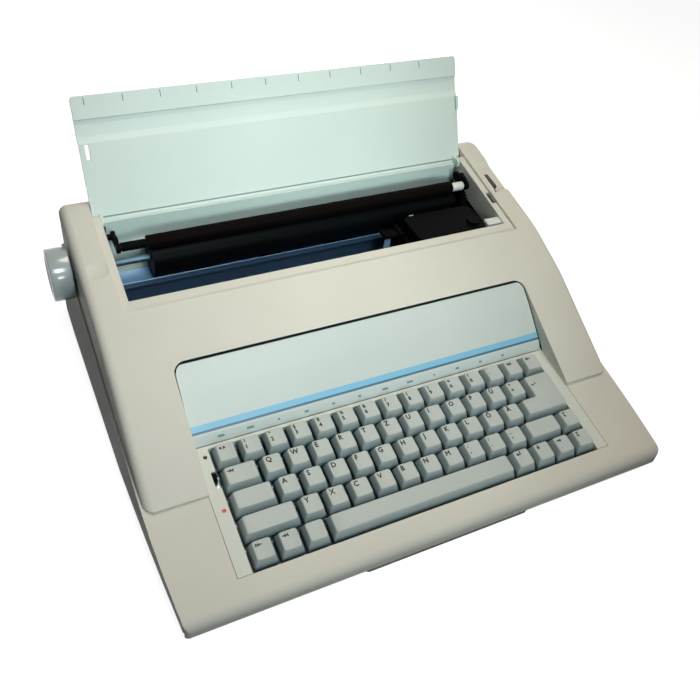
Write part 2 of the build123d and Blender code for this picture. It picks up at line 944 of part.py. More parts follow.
lid_angle = slope_deg + crest_slope + 180 - lid_open
lid_lean = radians(lid_angle)
arm_inner = opening_half_width - 2.4
arm_outer = opening_half_width - 0.2
tail_half_width = opening_half_width - 0.5
tail_end = 2.0              # the wide part of the lid starts here
lid_under = lid_thickness - lid_drop
lug_depth = 2.8


def lid_side(x=0.0):
    return Plane(origin=(x, *hinge_point), x_dir=(0, cos(lid_lean), sin(lid_lean)), z_dir=(1, 0, 0))


lid_face = Plane(origin=(0, *hinge_point), x_dir=(1, 0, 0), z_dir=(0, -sin(lid_lean), cos(lid_lean)))

with BuildPart() as lid:
    side_prism(
        [
            (-lid_tail, lid_under),
            (62.0, lid_under),
            (67.0, -6.5),
            (76.5, -6.7),
            (79.9, -6.2),
            (80.2, -4.9),
            (lid_reach, -4.9),
            (lid_reach, -7.3),
            (84.0, -7.5),
            (79.0, -8.8),
            (66.5, -8.8),
            (60.5, -lid_drop),
            (-lid_tail, -lid_drop),
        ],
        -lid_half_width,
        lid_half_width,
        plane_at=lid_side,
        radii=[0, 3, 4, 3, 0.1, 0.3, 0.6, 0.6, 3, 3, 4, 3, 0],
    )
    with BuildSketch(lid_face) as lid_plan:
        with BuildLine():
            FilletPolyline(
                (-tail_half_width, -lid_tail - 1),
                (tail_half_width, -lid_tail - 1),
                (tail_half_width, tail_end),
                (lid_half_width, tail_end),
                (lid_half_width, lid_reach + 1),
                (-lid_half_width, lid_reach + 1),
                (-lid_half_width, tail_end),
                (-tail_half_width, tail_end),
                radius=[0, 0, 0.5, 0.5, 5, 5, 0.5, 0.5],
                close=True,
            )
        make_face()
    extrude(lid_plan.sketch, amount=20, both=True, mode=Mode.INTERSECT)
    # slot at the left edge and latch lug at the right edge
    for x0, x1, s0, s1, mode in [
        (-lid_half_width + 4.5, -lid_half_width + 7.5, 49.0, 61.0, Mode.SUBTRACT),
        (lid_half_width - 2.4, lid_half_width, lug_front, lug_back, Mode.ADD),
    ]:
        with BuildSketch(lid_face.offset(-lid_drop - 1 if mode == Mode.SUBTRACT else lid_under - 0.5)) as spot:
            with Locations(((x0 + x1) / 2, (s0 + s1) / 2)):
                Rectangle(x1 - x0, s1 - s0)
        extrude(spot.sketch, amount=4 if mode == Mode.SUBTRACT else lug_depth + 0.5, mode=mode)
    # hinge arms and pins
    for side in (-1, 1):
        x0, x1 = sorted((side * arm_inner, side * arm_outer))
        side_prism([(-3.5, -6.0), (6.5, -6.0), (4.4, 0), (-4.4, 0)], x0, x1, plane_at=lid_side)
        rod(x0, x1, *hinge_point, 4.4)
        x0, x1 = sorted((side * (arm_outer - 0.5), side * (opening_half_width + skirt_wall + 1.2)))
        rod(x0, x1, *hinge_point, lid_pin_radius)
save(lid, "lid")


# Chassis

chassis_front = 42.5
chassis_back = 156.0
chassis_top = 88.0
pinion_distance = gear_module * (gear_teeth + pinion_teeth) / 2 + 0.3
pinion_y = platen_y + pinion_distance * cos(radians(pinion_angle))
pinion_z = platen_z + pinion_distance * sin(radians(pinion_angle))
feed_distance = platen_radius + feed_gap + feed_radius
feed_y = platen_y + feed_distance * cos(radians(feed_angle))
feed_z = platen_z + feed_distance * sin(radians(feed_angle))
bush_radius = 5.0
beam_front = 99.5
beam_back = 101.5
beam_top = 68.0
beam_lip = 3.0
rail_y = 44.0
rail_thick = 3.0
rail_low = 70.0
rail_high = 76.0
linefeed_motor_radius = 12.5


def plate_solid(side):
    x0, x1 = sorted((side * plate_x, side * (plate_x + side_plate)))
    with BuildPart() as plate:
        side_prism(
            [
                (chassis_front, floor_top),
                (chassis_back, floor_top),
                (chassis_back, 76.0),
                (148.0, chassis_top),
                (50.0, chassis_top),
                (chassis_front, 80.0),
            ],
            x0,
            x1,
        )
        # foot flange on the floor
        a, b = sorted((side * plate_x, side * (plate_x + 12.0)))
        block(a, b, chassis_front, chassis_back - 8, floor_top, floor_top + 2)
        # weight saving windows
        for y, z, r in [(72, 62, 9), (72, 34, 9)]:
            rod(x0 - 1, x1 + 1, y, z, r, mode=Mode.SUBTRACT)
        rod(x0 - 1, x1 + 1, shaft_y, shaft_z, shaft_radius, mode=Mode.SUBTRACT)
        rod(x0 - 1, x1 + 1, platen_y, platen_z, bush_radius, mode=Mode.SUBTRACT)
        rod(x0 - 1, x1 + 1, feed_y, feed_z, feed_shaft_radius + running, mode=Mode.SUBTRACT)
    return plate.part


with BuildPart() as left_side_plate:
    add(plate_solid(-1))
    # bracket and stud of the belt's idler
    block(-plate_x - side_plate, -pulley_x + 7, belt_y + 3.4, belt_y + 5.4, 36, 52)
    rod_y(-pulley_x, belt_y - 3, belt_y + 4, belt_z, 2.0)
save(left_side_plate, "left_side_plate")

with BuildPart() as right_side_plate:
    add(plate_solid(1))
    rod(plate_x - 1, plate_x + 3, pinion_y, pinion_z, 3.0, mode=Mode.SUBTRACT)
    # stud of the paper release lever
    rod(plate_x + 1, release_x + release_width + 1.4, release_y, release_z, 2.5)
    rod(plate_x + side_plate - 0.2, release_x - 0.3, release_y, release_z, 5.0)
save(right_side_plate, "right_side_plate")

with BuildPart() as guide_shaft:
    rod(-plate_x - side_plate, plate_x + side_plate, shaft_y, shaft_z, shaft_radius)
save(guide_shaft, "guide_shaft")

with BuildPart() as guide_rail:
    block(-plate_x, plate_x, rail_y - rail_thick / 2, rail_y + rail_thick / 2, rail_low, rail_high)
save(guide_rail, "guide_rail")

with BuildPart() as deflector_beam:
    block(-plate_x, plate_x, beam_front, beam_back, 30, beam_top)
    block(-plate_x, plate_x, beam_front, beam_back + 8, 30, 32)
    # flange along the top
    block(-plate_x, plate_x, beam_front - beam_lip, beam_back, beam_top - 1.6, beam_top)
    for side in (-1, 1):
        x0, x1 = sorted((side * (plate_x - 2), side * plate_x))
        block(x0, x1, beam_front, beam_back + 8, 30, 66)
    for x in range(-140, 141, 35):
        rod_y(x, beam_front - 1, beam_back + 1, 46, 3.0, mode=Mode.SUBTRACT)
save(deflector_beam, "deflector_beam")

with BuildPart() as platen_bushes:
    for side in (-1, 1):
        x0, x1 = sorted((side * (plate_x - 1.2), side * (plate_x + side_plate + 1)))
        rod(x0, x1, platen_y, platen_z, bush_radius)
        x0, x1 = sorted((side * (plate_x - 1.2), side * plate_x))
        rod(x0, x1, platen_y, platen_z, bush_radius + 2)
    rod(-200, 200, platen_y, platen_z, platen_shaft_radius + running, mode=Mode.SUBTRACT)
save(platen_bushes, "platen_bushes")


# Platen and paper path

knob_outer = -half_width + ledge_step - knob_gap - knob_length
with BuildPart() as platen:
    rod(platen_left, platen_right, platen_y, platen_z, platen_radius)
    rod(platen_left - 1, platen_right + 1, platen_y, platen_z, platen_shaft_radius, mode=Mode.SUBTRACT)
save(platen, "platen")

with BuildPart() as platen_shaft:
    rod(knob_outer + 3, plate_x + side_plate + 3, platen_y, platen_z, platen_shaft_radius)
save(platen_shaft, "platen_shaft")


def toothed(x0, x1, y, z, teeth, bore, turn=0.0):
    """A spur gear along X, with straight-sided teeth."""
    root = gear_module * (teeth / 2 - 1.25)
    tip = gear_module * (teeth / 2 + 1)
    with BuildPart() as gear:
        with BuildSketch(body_side(x0)) as outline:
            with Locations((y, z)):
                Circle(root)
            for tooth in range(teeth):
                angle = turn + 360 / teeth * tooth
                with Locations(Location((y, z), angle)):
                    with Locations(((root + tip) / 2 - 0.2, 0)):
                        Trapezoid(gear_module * 1.75, tip - root + 0.4, 76, rotation=-90)
            with Locations((y, z)):
                Circle(bore, mode=Mode.SUBTRACT)
        extrude(outline.sketch, amount=x1 - x0)
    return gear.part


with BuildPart() as platen_gear:
    add(toothed(gear_left, gear_left + gear_width, platen_y, platen_z, gear_teeth, platen_shaft_radius))
    with BuildPart(mode=Mode.PRIVATE) as hub:
        rod(gear_left - 5, gear_left + 0.5, platen_y, platen_z, 6.0)
        rod(gear_left - 6, gear_left + 1, platen_y, platen_z, platen_shaft_radius, mode=Mode.SUBTRACT)
    add(hub.part)
save(platen_gear, "platen_gear")

with BuildPart() as platen_knob:
    rod(knob_outer, knob_outer + knob_length, platen_y, platen_z, knob_radius)
    fillet(platen_knob.edges().filter_by(GeomType.CIRCLE), 1.6)
    rod(knob_outer - 1, knob_outer + 1.2, platen_y, platen_z, knob_radius - 4.5, mode=Mode.SUBTRACT)
    rod(knob_outer + 3, knob_outer + 30, platen_y, platen_z, platen_shaft_radius, mode=Mode.SUBTRACT)
save(platen_knob, "platen_knob")

tooth_phase = pinion_angle + 180 + 180 / pinion_teeth
phase_error = (pinion_angle % (360 / gear_teeth)) * gear_teeth / pinion_teeth
with BuildPart() as linefeed_pinion:
    add(
        toothed(
            gear_left - 0.5,
            gear_left + gear_width + 0.5,
            pinion_y,
            pinion_z,
            pinion_teeth,
            1.5,
            turn=tooth_phase + phase_error,
        )
    )
    rod(gear_left - 0.5, plate_x + side_plate + 8, pinion_y, pinion_z, 1.5)
save(linefeed_pinion, "linefeed_pinion")

with BuildPart() as linefeed_motor:
    motor_left = plate_x + side_plate
    rod(motor_left, motor_left + 16.0, pinion_y, pinion_z, linefeed_motor_radius)
    fillet(linefeed_motor.edges().filter_by(GeomType.CIRCLE).group_by(Axis.X)[-1], 1.0)
    with Locations((motor_left + 0.6, pinion_y, pinion_z)):
        Box(1.2, 36, 10)
    rod(motor_left - 2, motor_left + 9.5, pinion_y, pinion_z, 1.5 + running, mode=Mode.SUBTRACT)
save(linefeed_motor, "linefeed_motor")

table_gap = 3.1             # paper table in from the opening's walls
table_half_width = opening_half_width - table_gap
table_right_low = gear_left - 2.0
table_radius = platen_radius + 2.0
table_top = 106.5


def arc_sheet(x0, x1, inner, thick, angle0, angle1, mode=Mode.ADD):
    """A sheet bent round the platen axis, between two angles from the Y axis."""
    middle = radians((angle0 + angle1) / 2)
    outer = inner + thick
    a0 = radians(angle0)
    a1 = radians(angle1)

    def at(r, a):
        return (platen_y + r * cos(a), platen_z + r * sin(a))

    with BuildSketch(body_side(x0)) as outline:
        with BuildLine():
            ThreePointArc(at(inner, a0), at(inner, middle), at(inner, a1))
            Line(at(inner, a1), at(outer, a1))
            ThreePointArc(at(outer, a1), at(outer, middle), at(outer, a0))
            Line(at(outer, a0), at(inner, a0))
        make_face()
    extrude(outline.sketch, amount=x1 - x0, mode=mode)


with BuildPart() as paper_table:
    side_prism(
        [
            (platen_y + table_radius, platen_z - 0.5),
            (platen_y + table_radius + table_thickness, platen_z - 0.5),
            (platen_y + table_radius + table_thickness + 1.0, table_top),
            (platen_y + table_radius + 1.0, table_top),
        ],
        -table_half_width,
        table_half_width,
    )
    arc_sheet(-table_half_width, table_right_low, table_radius, table_thickness, -60, 0.8)
    for side in (-1, 1):
        x0, x1 = sorted((side * (table_half_width - 2), side * plate_x))
        block(x0, x1, platen_y + table_radius + 0.3, platen_y + table_radius + 1.8, 78, 85)
save(paper_table, "paper_table")

feed_xs = (-96.0, -32.0, 32.0, 96.0)
feed_width = 22.0
pan_radius = platen_radius + pan_gap

with BuildPart() as paper_pan:
    arc_sheet(-table_half_width, table_right_low, pan_radius, pan_thickness, -140, -61)
    arc_sheet(-plate_x, -table_half_width + 1, pan_radius, pan_thickness, -112, -88)
    arc_sheet(table_right_low - 1, plate_x, pan_radius, pan_thickness, -112, -88)
    for x in feed_xs:
        arc_sheet(
            x - feed_width / 2 - 1,
            x + feed_width / 2 + 1,
            pan_radius - 1,
            pan_thickness + 2,
            feed_angle - 19,
            feed_angle + 19,
            mode=Mode.SUBTRACT,
        )
save(paper_pan, "paper_pan")

with BuildPart() as feed_roller_shaft:
    rod(-plate_x - side_plate - 1, plate_x + side_plate + 1, feed_y, feed_z, feed_shaft_radius)
save(feed_roller_shaft, "feed_roller_shaft")

with BuildPart() as feed_rollers:
    for x in feed_xs:
        rod(x - feed_width / 2, x + feed_width / 2, feed_y, feed_z, feed_radius)
    rod(-plate_x, plate_x, feed_y, feed_z, feed_shaft_radius, mode=Mode.SUBTRACT)
save(feed_rollers, "feed_rollers")


# Paper bail

arm_half = bail_arm_thickness / 2
bail_boss = 4.6

with BuildPart() as bail_arms:
    for side in (-1, 1):
        x0 = side * bail_arm_x - arm_half
        x1 = side * bail_arm_x + arm_half
        rod(x0, x1, bail_pivot_y, bail_pivot_z, bail_boss)
        rod(x0, x1, bail_y, bail_z, bail_boss)
        side_prism(
            [
                (bail_pivot_y, bail_pivot_z - 3.6),
                (bail_pivot_y, bail_pivot_z + 3.6),
                (bail_y, bail_z + 3.6),
                (bail_y, bail_z - 3.6),
            ],
            x0,
            x1,
        )
        # finger tab
        side_prism(
            [
                (bail_y + 1, bail_z + 2),
                (bail_y + 9, bail_z + 3),
                (bail_y + 7.5, bail_z + 6.6),
                (bail_y + 1.5, bail_z + 5.6),
            ],
            x0,
            x1,
            radii=[0, 0, 1.6, 1.6],
        )
        a, b = sorted((side * (bail_arm_x + arm_half - 0.5), side * (opening_half_width + skirt_wall)))
        rod(a, b, bail_pivot_y, bail_pivot_z, bail_pivot_bore - running)
    rod(-bail_arm_x - 5, bail_arm_x + 5, bail_y, bail_z, bail_rod_radius, mode=Mode.SUBTRACT)
save(bail_arms, "bail_arms")

with BuildPart() as bail_rod:
    rod(-bail_arm_x - arm_half, bail_arm_x + arm_half, bail_y, bail_z, bail_rod_radius)
save(bail_rod, "bail_rod")

with BuildPart() as bail_roller:
    rod(bail_left, bail_right, bail_y, bail_z, bail_roller_radius)
    rod(bail_left - 1, bail_right + 1, bail_y, bail_z, bail_rod_radius + running, mode=Mode.SUBTRACT)
save(bail_roller, "bail_roller")

with BuildPart() as paper_release_lever:
    x0 = release_x
    x1 = release_x + release_width
    rod(x0, x1, release_y, release_z, 5.5)
    side_prism(
        [
            (release_y - 4.0, release_z),
            (release_y + 4.0, release_z),
            (release_y + 3.4, release_z + 22),
            (release_pad_back, release_z + 24.4),
            (release_pad_back, release_z + 28.0),
            (release_pad_front, release_z + 25.6),
            (release_pad_front, release_z + 22.4),
            (release_y - 3.4, release_z + 21.4),
        ],
        x0,
        x1,
        radii=[0, 0, 1.2, 0.8, 2.0, 2.0, 0.8, 1.2],
    )
    rod(x0 - 1, x1 + 1, release_y, release_z, 2.5 + running, mode=Mode.SUBTRACT)
save(paper_release_lever, "paper_release_lever")


# Carriage

middle_x = (carriage_left + carriage_right) / 2
wheel_motor_radius = 17.0
wheel_motor_front = 62.0
wheel_motor_back = 86.0
hub_radius = 5.0
clamp_half = 7.0
belt_slot = 0.3
hammer_radius = 1.6
hammer_front = 64.0
hammer_end = 86.2
hammer_throw = 4.0
cassette_left = carriage_left + 4.0
cassette_right = carriage_right - 4.0
cassette_front = 52.0
cassette_low = carriage_deck + carriage_wall
cassette_high = 93.5
lever_pivot_x = carriage_left - 1.6
lever_reach = 16.4
winder_x = carriage_right - 14.0
winder_y = 62.0
lever_z = 84.4
lever_front = 74.0
lever_back = 88.0

with BuildPart() as carriage_frame:
    for x in (carriage_left, carriage_right - carriage_wall):
        side_prism(
            [
                (carriage_front, carriage_low),
                (64.0, carriage_low),
                (carriage_back, 62.0),
                (carriage_back, carriage_deck + carriage_wall),
                (carriage_front, carriage_deck + carriage_wall),
            ],
            x,
            x + carriage_wall,
            radii=[3, 6, 4, 0, 0],
        )
    block(
        carriage_left,
        carriage_right,
        carriage_front,
        carriage_back,
        carriage_deck,
        carriage_deck + carriage_wall,
    )
    # bridge that carries the wheel motor and the hammer block
    block(carriage_left, carriage_right, wheel_motor_front - 2, wheel_motor_front, 30, carriage_deck + 1)
    block(middle_x - 7, middle_x + 7, wheel_motor_front - 1, 80, 69.2, carriage_deck + 1)
    rod_y(middle_x, wheel_motor_front - 3, 81, hammer_z, hammer_radius + running, mode=Mode.SUBTRACT)
    # bearing on the guide shaft
    block(carriage_left, carriage_right, carriage_front, wheel_motor_front - 1, carriage_low, 42)
    rod(
        carriage_left - 1,
        carriage_right + 1,
        shaft_y,
        shaft_z,
        shaft_radius + running,
        mode=Mode.SUBTRACT,
    )
    # belt clamp
    block(middle_x - clamp_half, middle_x + clamp_half, belt_y - 2.6, carriage_front + 1, 48, 57)
    block(middle_x - clamp_half, middle_x + clamp_half, carriage_front, wheel_motor_front, 48, 57)
    block(
        middle_x - clamp_half - 1,
        middle_x + clamp_half + 1,
        belt_y - belt_width / 2 - belt_slot,
        belt_y + belt_width / 2 + belt_slot,
        belt_z + pulley_radius - belt_slot,
        belt_z + pulley_radius + belt_thickness + belt_slot,
        mode=Mode.SUBTRACT,
    )
    # shoe on the front rail
    block(middle_x - 14, middle_x + 14, rail_y - 3.6, wheel_motor_front, 66.5, carriage_deck + 0.5)
    block(
        middle_x - 15,
        middle_x + 15,
        rail_y - rail_thick / 2 - running,
        rail_y + rail_thick / 2 + running,
        60,
        rail_high + 0.3,
        mode=Mode.SUBTRACT,
    )
    # side tab with the pin of the wheel release lever
    block(lever_pivot_x - 2, carriage_left + 1, lever_front, lever_front + 1.6, carriage_deck, lever_z + 2)
    block(lever_pivot_x - 2, carriage_left + 1, lever_back - 1.6, lever_back, carriage_deck, lever_z + 2)
    rod_y(lever_pivot_x, lever_front, lever_back, lever_z, 1.0)
save(carriage_frame, "carriage_frame")

with BuildPart() as wheel_motor:
    rod_y(middle_x, wheel_motor_front, wheel_motor_back, wheel_z, wheel_motor_radius)
    rod_y(middle_x, wheel_motor_back - 12, wheel_motor_back + 1, wheel_z, 1.5 + running, mode=Mode.SUBTRACT)
save(wheel_motor, "wheel_motor")

petals = 48
with BuildPart() as daisy_wheel:
    wheel_front = wheel_y - wheel_thickness / 2
    with BuildSketch(Plane(origin=(middle_x, wheel_front, wheel_z), x_dir=(1, 0, 0), z_dir=(0, 1, 0))) as web:
        Circle(12.0)
        for petal in range(petals):
            with Locations(Location((0, 0), 360 / petals * petal)):
                with Locations(((11.0 + wheel_radius - 2) / 2, 0)):
                    Rectangle(wheel_radius - 13.0, 1.0)
                with Locations((wheel_radius - 1.5, 0)):
                    Rectangle(3.0, 2.2)
    extrude(web.sketch, amount=wheel_thickness)
    rod_y(middle_x, wheel_motor_back + 0.6, wheel_front + wheel_thickness, wheel_z, hub_radius)
    rod_y(middle_x, wheel_motor_back - 11, wheel_front, wheel_z, 1.5)
save(daisy_wheel, "daisy_wheel")

with BuildPart() as print_hammer:
    rod_y(middle_x, hammer_front, hammer_end, hammer_z, hammer_radius)
    rod_y(middle_x, hammer_end - 3, hammer_end, hammer_z, 2.4)
save(print_hammer, "print_hammer")

with BuildPart() as ribbon_cassette:
    with BuildSketch(Plane.XY.offset(cassette_low)) as cassette_plan:
        with Locations((middle_x, (cassette_front + carriage_back) / 2)):
            Rectangle(cassette_right - cassette_left, carriage_back - cassette_front)
        fillet(cassette_plan.vertices(), 6)
    extrude(cassette_plan.sketch, amount=cassette_high - cassette_low)
    fillet(ribbon_cassette.edges().group_by(Axis.Z)[-1], 1.0)
    # horns that hold the ribbon in front of the platen
    for side in (-1, 1):
        x0, x1 = sorted((middle_x + side * 17, middle_x + side * 23))
        block(x0, x1, carriage_back - 2, 97.0, cassette_low + 0.6, cassette_low + 6)
    block(middle_x - 23, middle_x + 23, 96.4, 97.0, 79.0, cassette_low + 5.6)
    post(winder_x, winder_y, cassette_low + 3, cassette_high + 1, 1.6 + running, mode=Mode.SUBTRACT)
save(ribbon_cassette, "ribbon_cassette")

with BuildPart() as ribbon_knob:
    post(winder_x, winder_y, cassette_high + 0.3, cassette_high + 3.0, 6.0)
    post(winder_x, winder_y, cassette_low + 4, cassette_high + 1, 1.6)
save(ribbon_knob, "ribbon_knob")

with BuildPart() as wheel_release_lever:
    rod_y(lever_pivot_x, lever_front + 1.9, lever_back - 1.9, lever_z, 2.2)
    block(lever_pivot_x - lever_reach, lever_pivot_x, lever_front + 1.9, lever_back - 1.9, lever_z - 2.2, lever_z - 0.4)
    lever_tip = lever_pivot_x - lever_reach
    block(lever_tip, lever_tip + 1.6, lever_front + 1.9, lever_back - 1.9, lever_z - 2.2, lever_z + 1.4)
    rod_y(lever_pivot_x, lever_front, lever_back, lever_z, 1.0 + running, mode=Mode.SUBTRACT)
save(wheel_release_lever, "wheel_release_lever")


def pulley(x, tip):
    """A flanged belt pulley on the belt's line."""
    with BuildPart() as wheel:
        rod_y(x, belt_y - belt_width / 2 - 0.3, belt_y + belt_width / 2 + 0.3, belt_z, pulley_radius - 0.3)
        for y in (belt_y - belt_width / 2 - 1.0, belt_y + belt_width / 2 + 0.3):
            rod_y(x, y, y + 0.7, belt_z, pulley_radius + 1.0)
        rod_y(x, tip, belt_y + 2.5, belt_z, 3.0)
    return wheel.part


with BuildPart() as idler_pulley:
    add(pulley(-pulley_x, belt_y - 2.5))
    rod_y(-pulley_x, 0, 60, belt_z, 2.0 + running, mode=Mode.SUBTRACT)
save(idler_pulley, "idler_pulley")

with BuildPart() as motor_pulley:
    add(pulley(pulley_x, belt_y - 2.5))
    rod_y(pulley_x, 28, belt_y, belt_z, 1.5)
save(motor_pulley, "motor_pulley")

with BuildPart() as carriage_motor:
    rod_y(pulley_x, 16, 40, belt_z, motor_radius)
    fillet(carriage_motor.edges().filter_by(GeomType.CIRCLE), 1.0)
    rod_y(pulley_x, 27, 41, belt_z, 1.5 + running, mode=Mode.SUBTRACT)
save(carriage_motor, "carriage_motor")

with BuildPart() as carriage_belt:
    with BuildSketch(Plane(origin=(0, belt_y - belt_width / 2, belt_z), x_dir=(-1, 0, 0), z_dir=(0, 1, 0))) as loop:
        SlotCenterToCenter(2 * pulley_x, 2 * (pulley_radius + belt_thickness))
        SlotCenterToCenter(2 * pulley_x, 2 * pulley_radius, mode=Mode.SUBTRACT)
    extrude(loop.sketch, amount=belt_width)
save(carriage_belt, "carriage_belt")


# Electronics

board_back = 162.5
board_front = 112.5

with BuildPart() as main_board:
    block(-150, 86, board_front, board_back, board_low, board_low + 1.6)
save(main_board, "main_board")

with BuildPart() as board_components:
    top = board_low + 1.6
    for x, y, dx, dy, dz in [
        (-90, 138, 52, 14, 4),
        (-20, 128, 36, 12, 3.6),
        (-20, 148, 36, 12, 3.6),
        (28, 138, 22, 10, 3.2),
        (-134, 130, 8, 24, 7),
        (62, 152, 30, 8, 9),
        (-50, 157, 28, 6, 8),
    ]:
        block(x - dx / 2, x + dx / 2, y - dy / 2, y + dy / 2, top, top + dz)
    for x in (50, 64, 78):
        post(x, 130, top, top + 14, 5.0)
save(board_components, "board_components")

with BuildPart() as transformer:
    block(97, 143, transformer_front, transformer_back, board_low, board_low + 33)
    block(92, 148, transformer_front + 6, transformer_back - 6, board_low, board_low + 2)
    block(104, 136, transformer_front - 4, transformer_back + 3, board_low + 7, board_low + 26)
save(transformer, "transformer")

with BuildPart() as mains_inlet:
    block(
        inlet_x - inlet_half_width,
        inlet_x + inlet_half_width,
        case_back - 17,
        case_back,
        inlet_z - inlet_half_height,
        inlet_z + inlet_half_height,
    )
    for x in (inlet_x - 4.3, inlet_x + 4.3):
        rod_y(x, case_back - 12, case_back + 1, inlet_z, 4.4, mode=Mode.SUBTRACT)
    for x in (inlet_x - 4.3, inlet_x + 4.3):
        rod_y(x, case_back - 12.5, case_back - 3, inlet_z, 1.2)
save(mains_inlet, "mains_inlet")


# Underside

with BuildPart() as rubber_feet:
    for x, y in foot_spots:
        post(x, y, 0, case_lift + 1.0, 8.0)
    fillet(rubber_feet.edges().group_by(Axis.Z)[0], 1.0)
save(rubber_feet, "rubber_feet")

with BuildPart() as case_screws:
    for x, y in screw_spots:
        seat = back_seat if y > 0 else front_seat
        post(x, y, seat - 1.5, seat, screw_head)
        post(x, y, seat - 0.5, seat + (14 if y > 0 else 10), screw_radius)
        with Locations((x, y, seat - 1.5)):
            Box(0.8, 4.4, 1.6, mode=Mode.SUBTRACT)
            Box(4.4, 0.8, 1.6, mode=Mode.SUBTRACT)
save(case_screws, "case_screws")

with BuildPart() as carry_handle:
    bar_front = -half_depth + 0.2
    bar_back = -160.0
    block(-handle_half, handle_half, bar_front, bar_back, handle_low, handle_low + handle_thick)
    for side in (-1, 1):
        x0, x1 = sorted((side * (handle_half - handle_arm), side * handle_half))
        block(x0, x1, bar_back - 1, tongue_back, handle_low, handle_low + handle_thick)
    fillet(carry_handle.edges().filter_by(Axis.Z).group_by(Axis.Y)[0], 4)
    for side in (-1, 1):
        x0, x1 = sorted((side * (handle_half - 1), side * (handle_half + tongue_reach)))
        block(x0, x1, tongue_front, tongue_back, tongue_low, tongue_low + tongue_thick)
save(carry_handle, "carry_handle")
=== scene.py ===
import json
from math import cos, pi, radians, sin

import bmesh
import bpy
from mathutils import Matrix, Vector


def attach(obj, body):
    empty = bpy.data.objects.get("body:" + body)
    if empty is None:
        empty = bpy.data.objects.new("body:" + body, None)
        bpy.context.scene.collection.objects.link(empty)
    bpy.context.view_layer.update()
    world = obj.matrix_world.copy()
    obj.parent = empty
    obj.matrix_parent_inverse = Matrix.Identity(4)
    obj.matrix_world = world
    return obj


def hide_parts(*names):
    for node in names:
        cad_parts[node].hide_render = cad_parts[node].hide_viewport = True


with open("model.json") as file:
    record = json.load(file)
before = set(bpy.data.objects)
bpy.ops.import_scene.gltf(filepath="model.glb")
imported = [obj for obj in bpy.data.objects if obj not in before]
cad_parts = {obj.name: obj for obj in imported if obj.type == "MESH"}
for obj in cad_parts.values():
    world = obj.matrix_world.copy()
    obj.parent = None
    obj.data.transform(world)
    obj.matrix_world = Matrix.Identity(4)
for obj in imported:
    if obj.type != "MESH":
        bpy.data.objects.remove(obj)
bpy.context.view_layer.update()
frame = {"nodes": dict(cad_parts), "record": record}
nodes = frame["nodes"]
scene = bpy.context.scene
scene.view_settings.view_transform = "Standard"

mm = 0.001
slope = radians(9.0)
slopeOrigin = Vector((0, -0.150, 0.0297))   # front edge of the front key row
upSlope = Vector((0, cos(slope), sin(slope)))
offSlope = Vector((0, -sin(slope), cos(slope)))
pitch = 19.05                               # key pitch, mm


# three ways to place a point given in mm: on the keys' slope, upright, and on the open lid
def onSlope(x, y, z):
    return slopeOrigin + Vector((x * mm, 0, 0)) + upSlope * (y * mm) + offSlope * (z * mm)


def upright(x, y, z):
    return x * mm, y * mm, z * mm


lidHinge = (136.824, 107.547)
lidLean = radians(64.9)


def onLid(x, s, n):
    y = lidHinge[0] + s * cos(lidLean) - n * sin(lidLean)
    z = lidHinge[1] + s * sin(lidLean) + n * cos(lidLean)
    return Vector((x, y, z)) * mm


# materials; colours are written as seen, from 0 to 255, and this is the curve from them to light
def linearPart(value):
    share = value / 255
    return ((share + 0.055) / 1.055) ** 2.4 if value > 10.3 else share / 12.92


def linear(color):
    return tuple(linearPart(value) for value in color) + (1.0,)


def shaded(base, factor):
    return tuple(min(v * factor, 1) for v in base[:3]) + (1,)


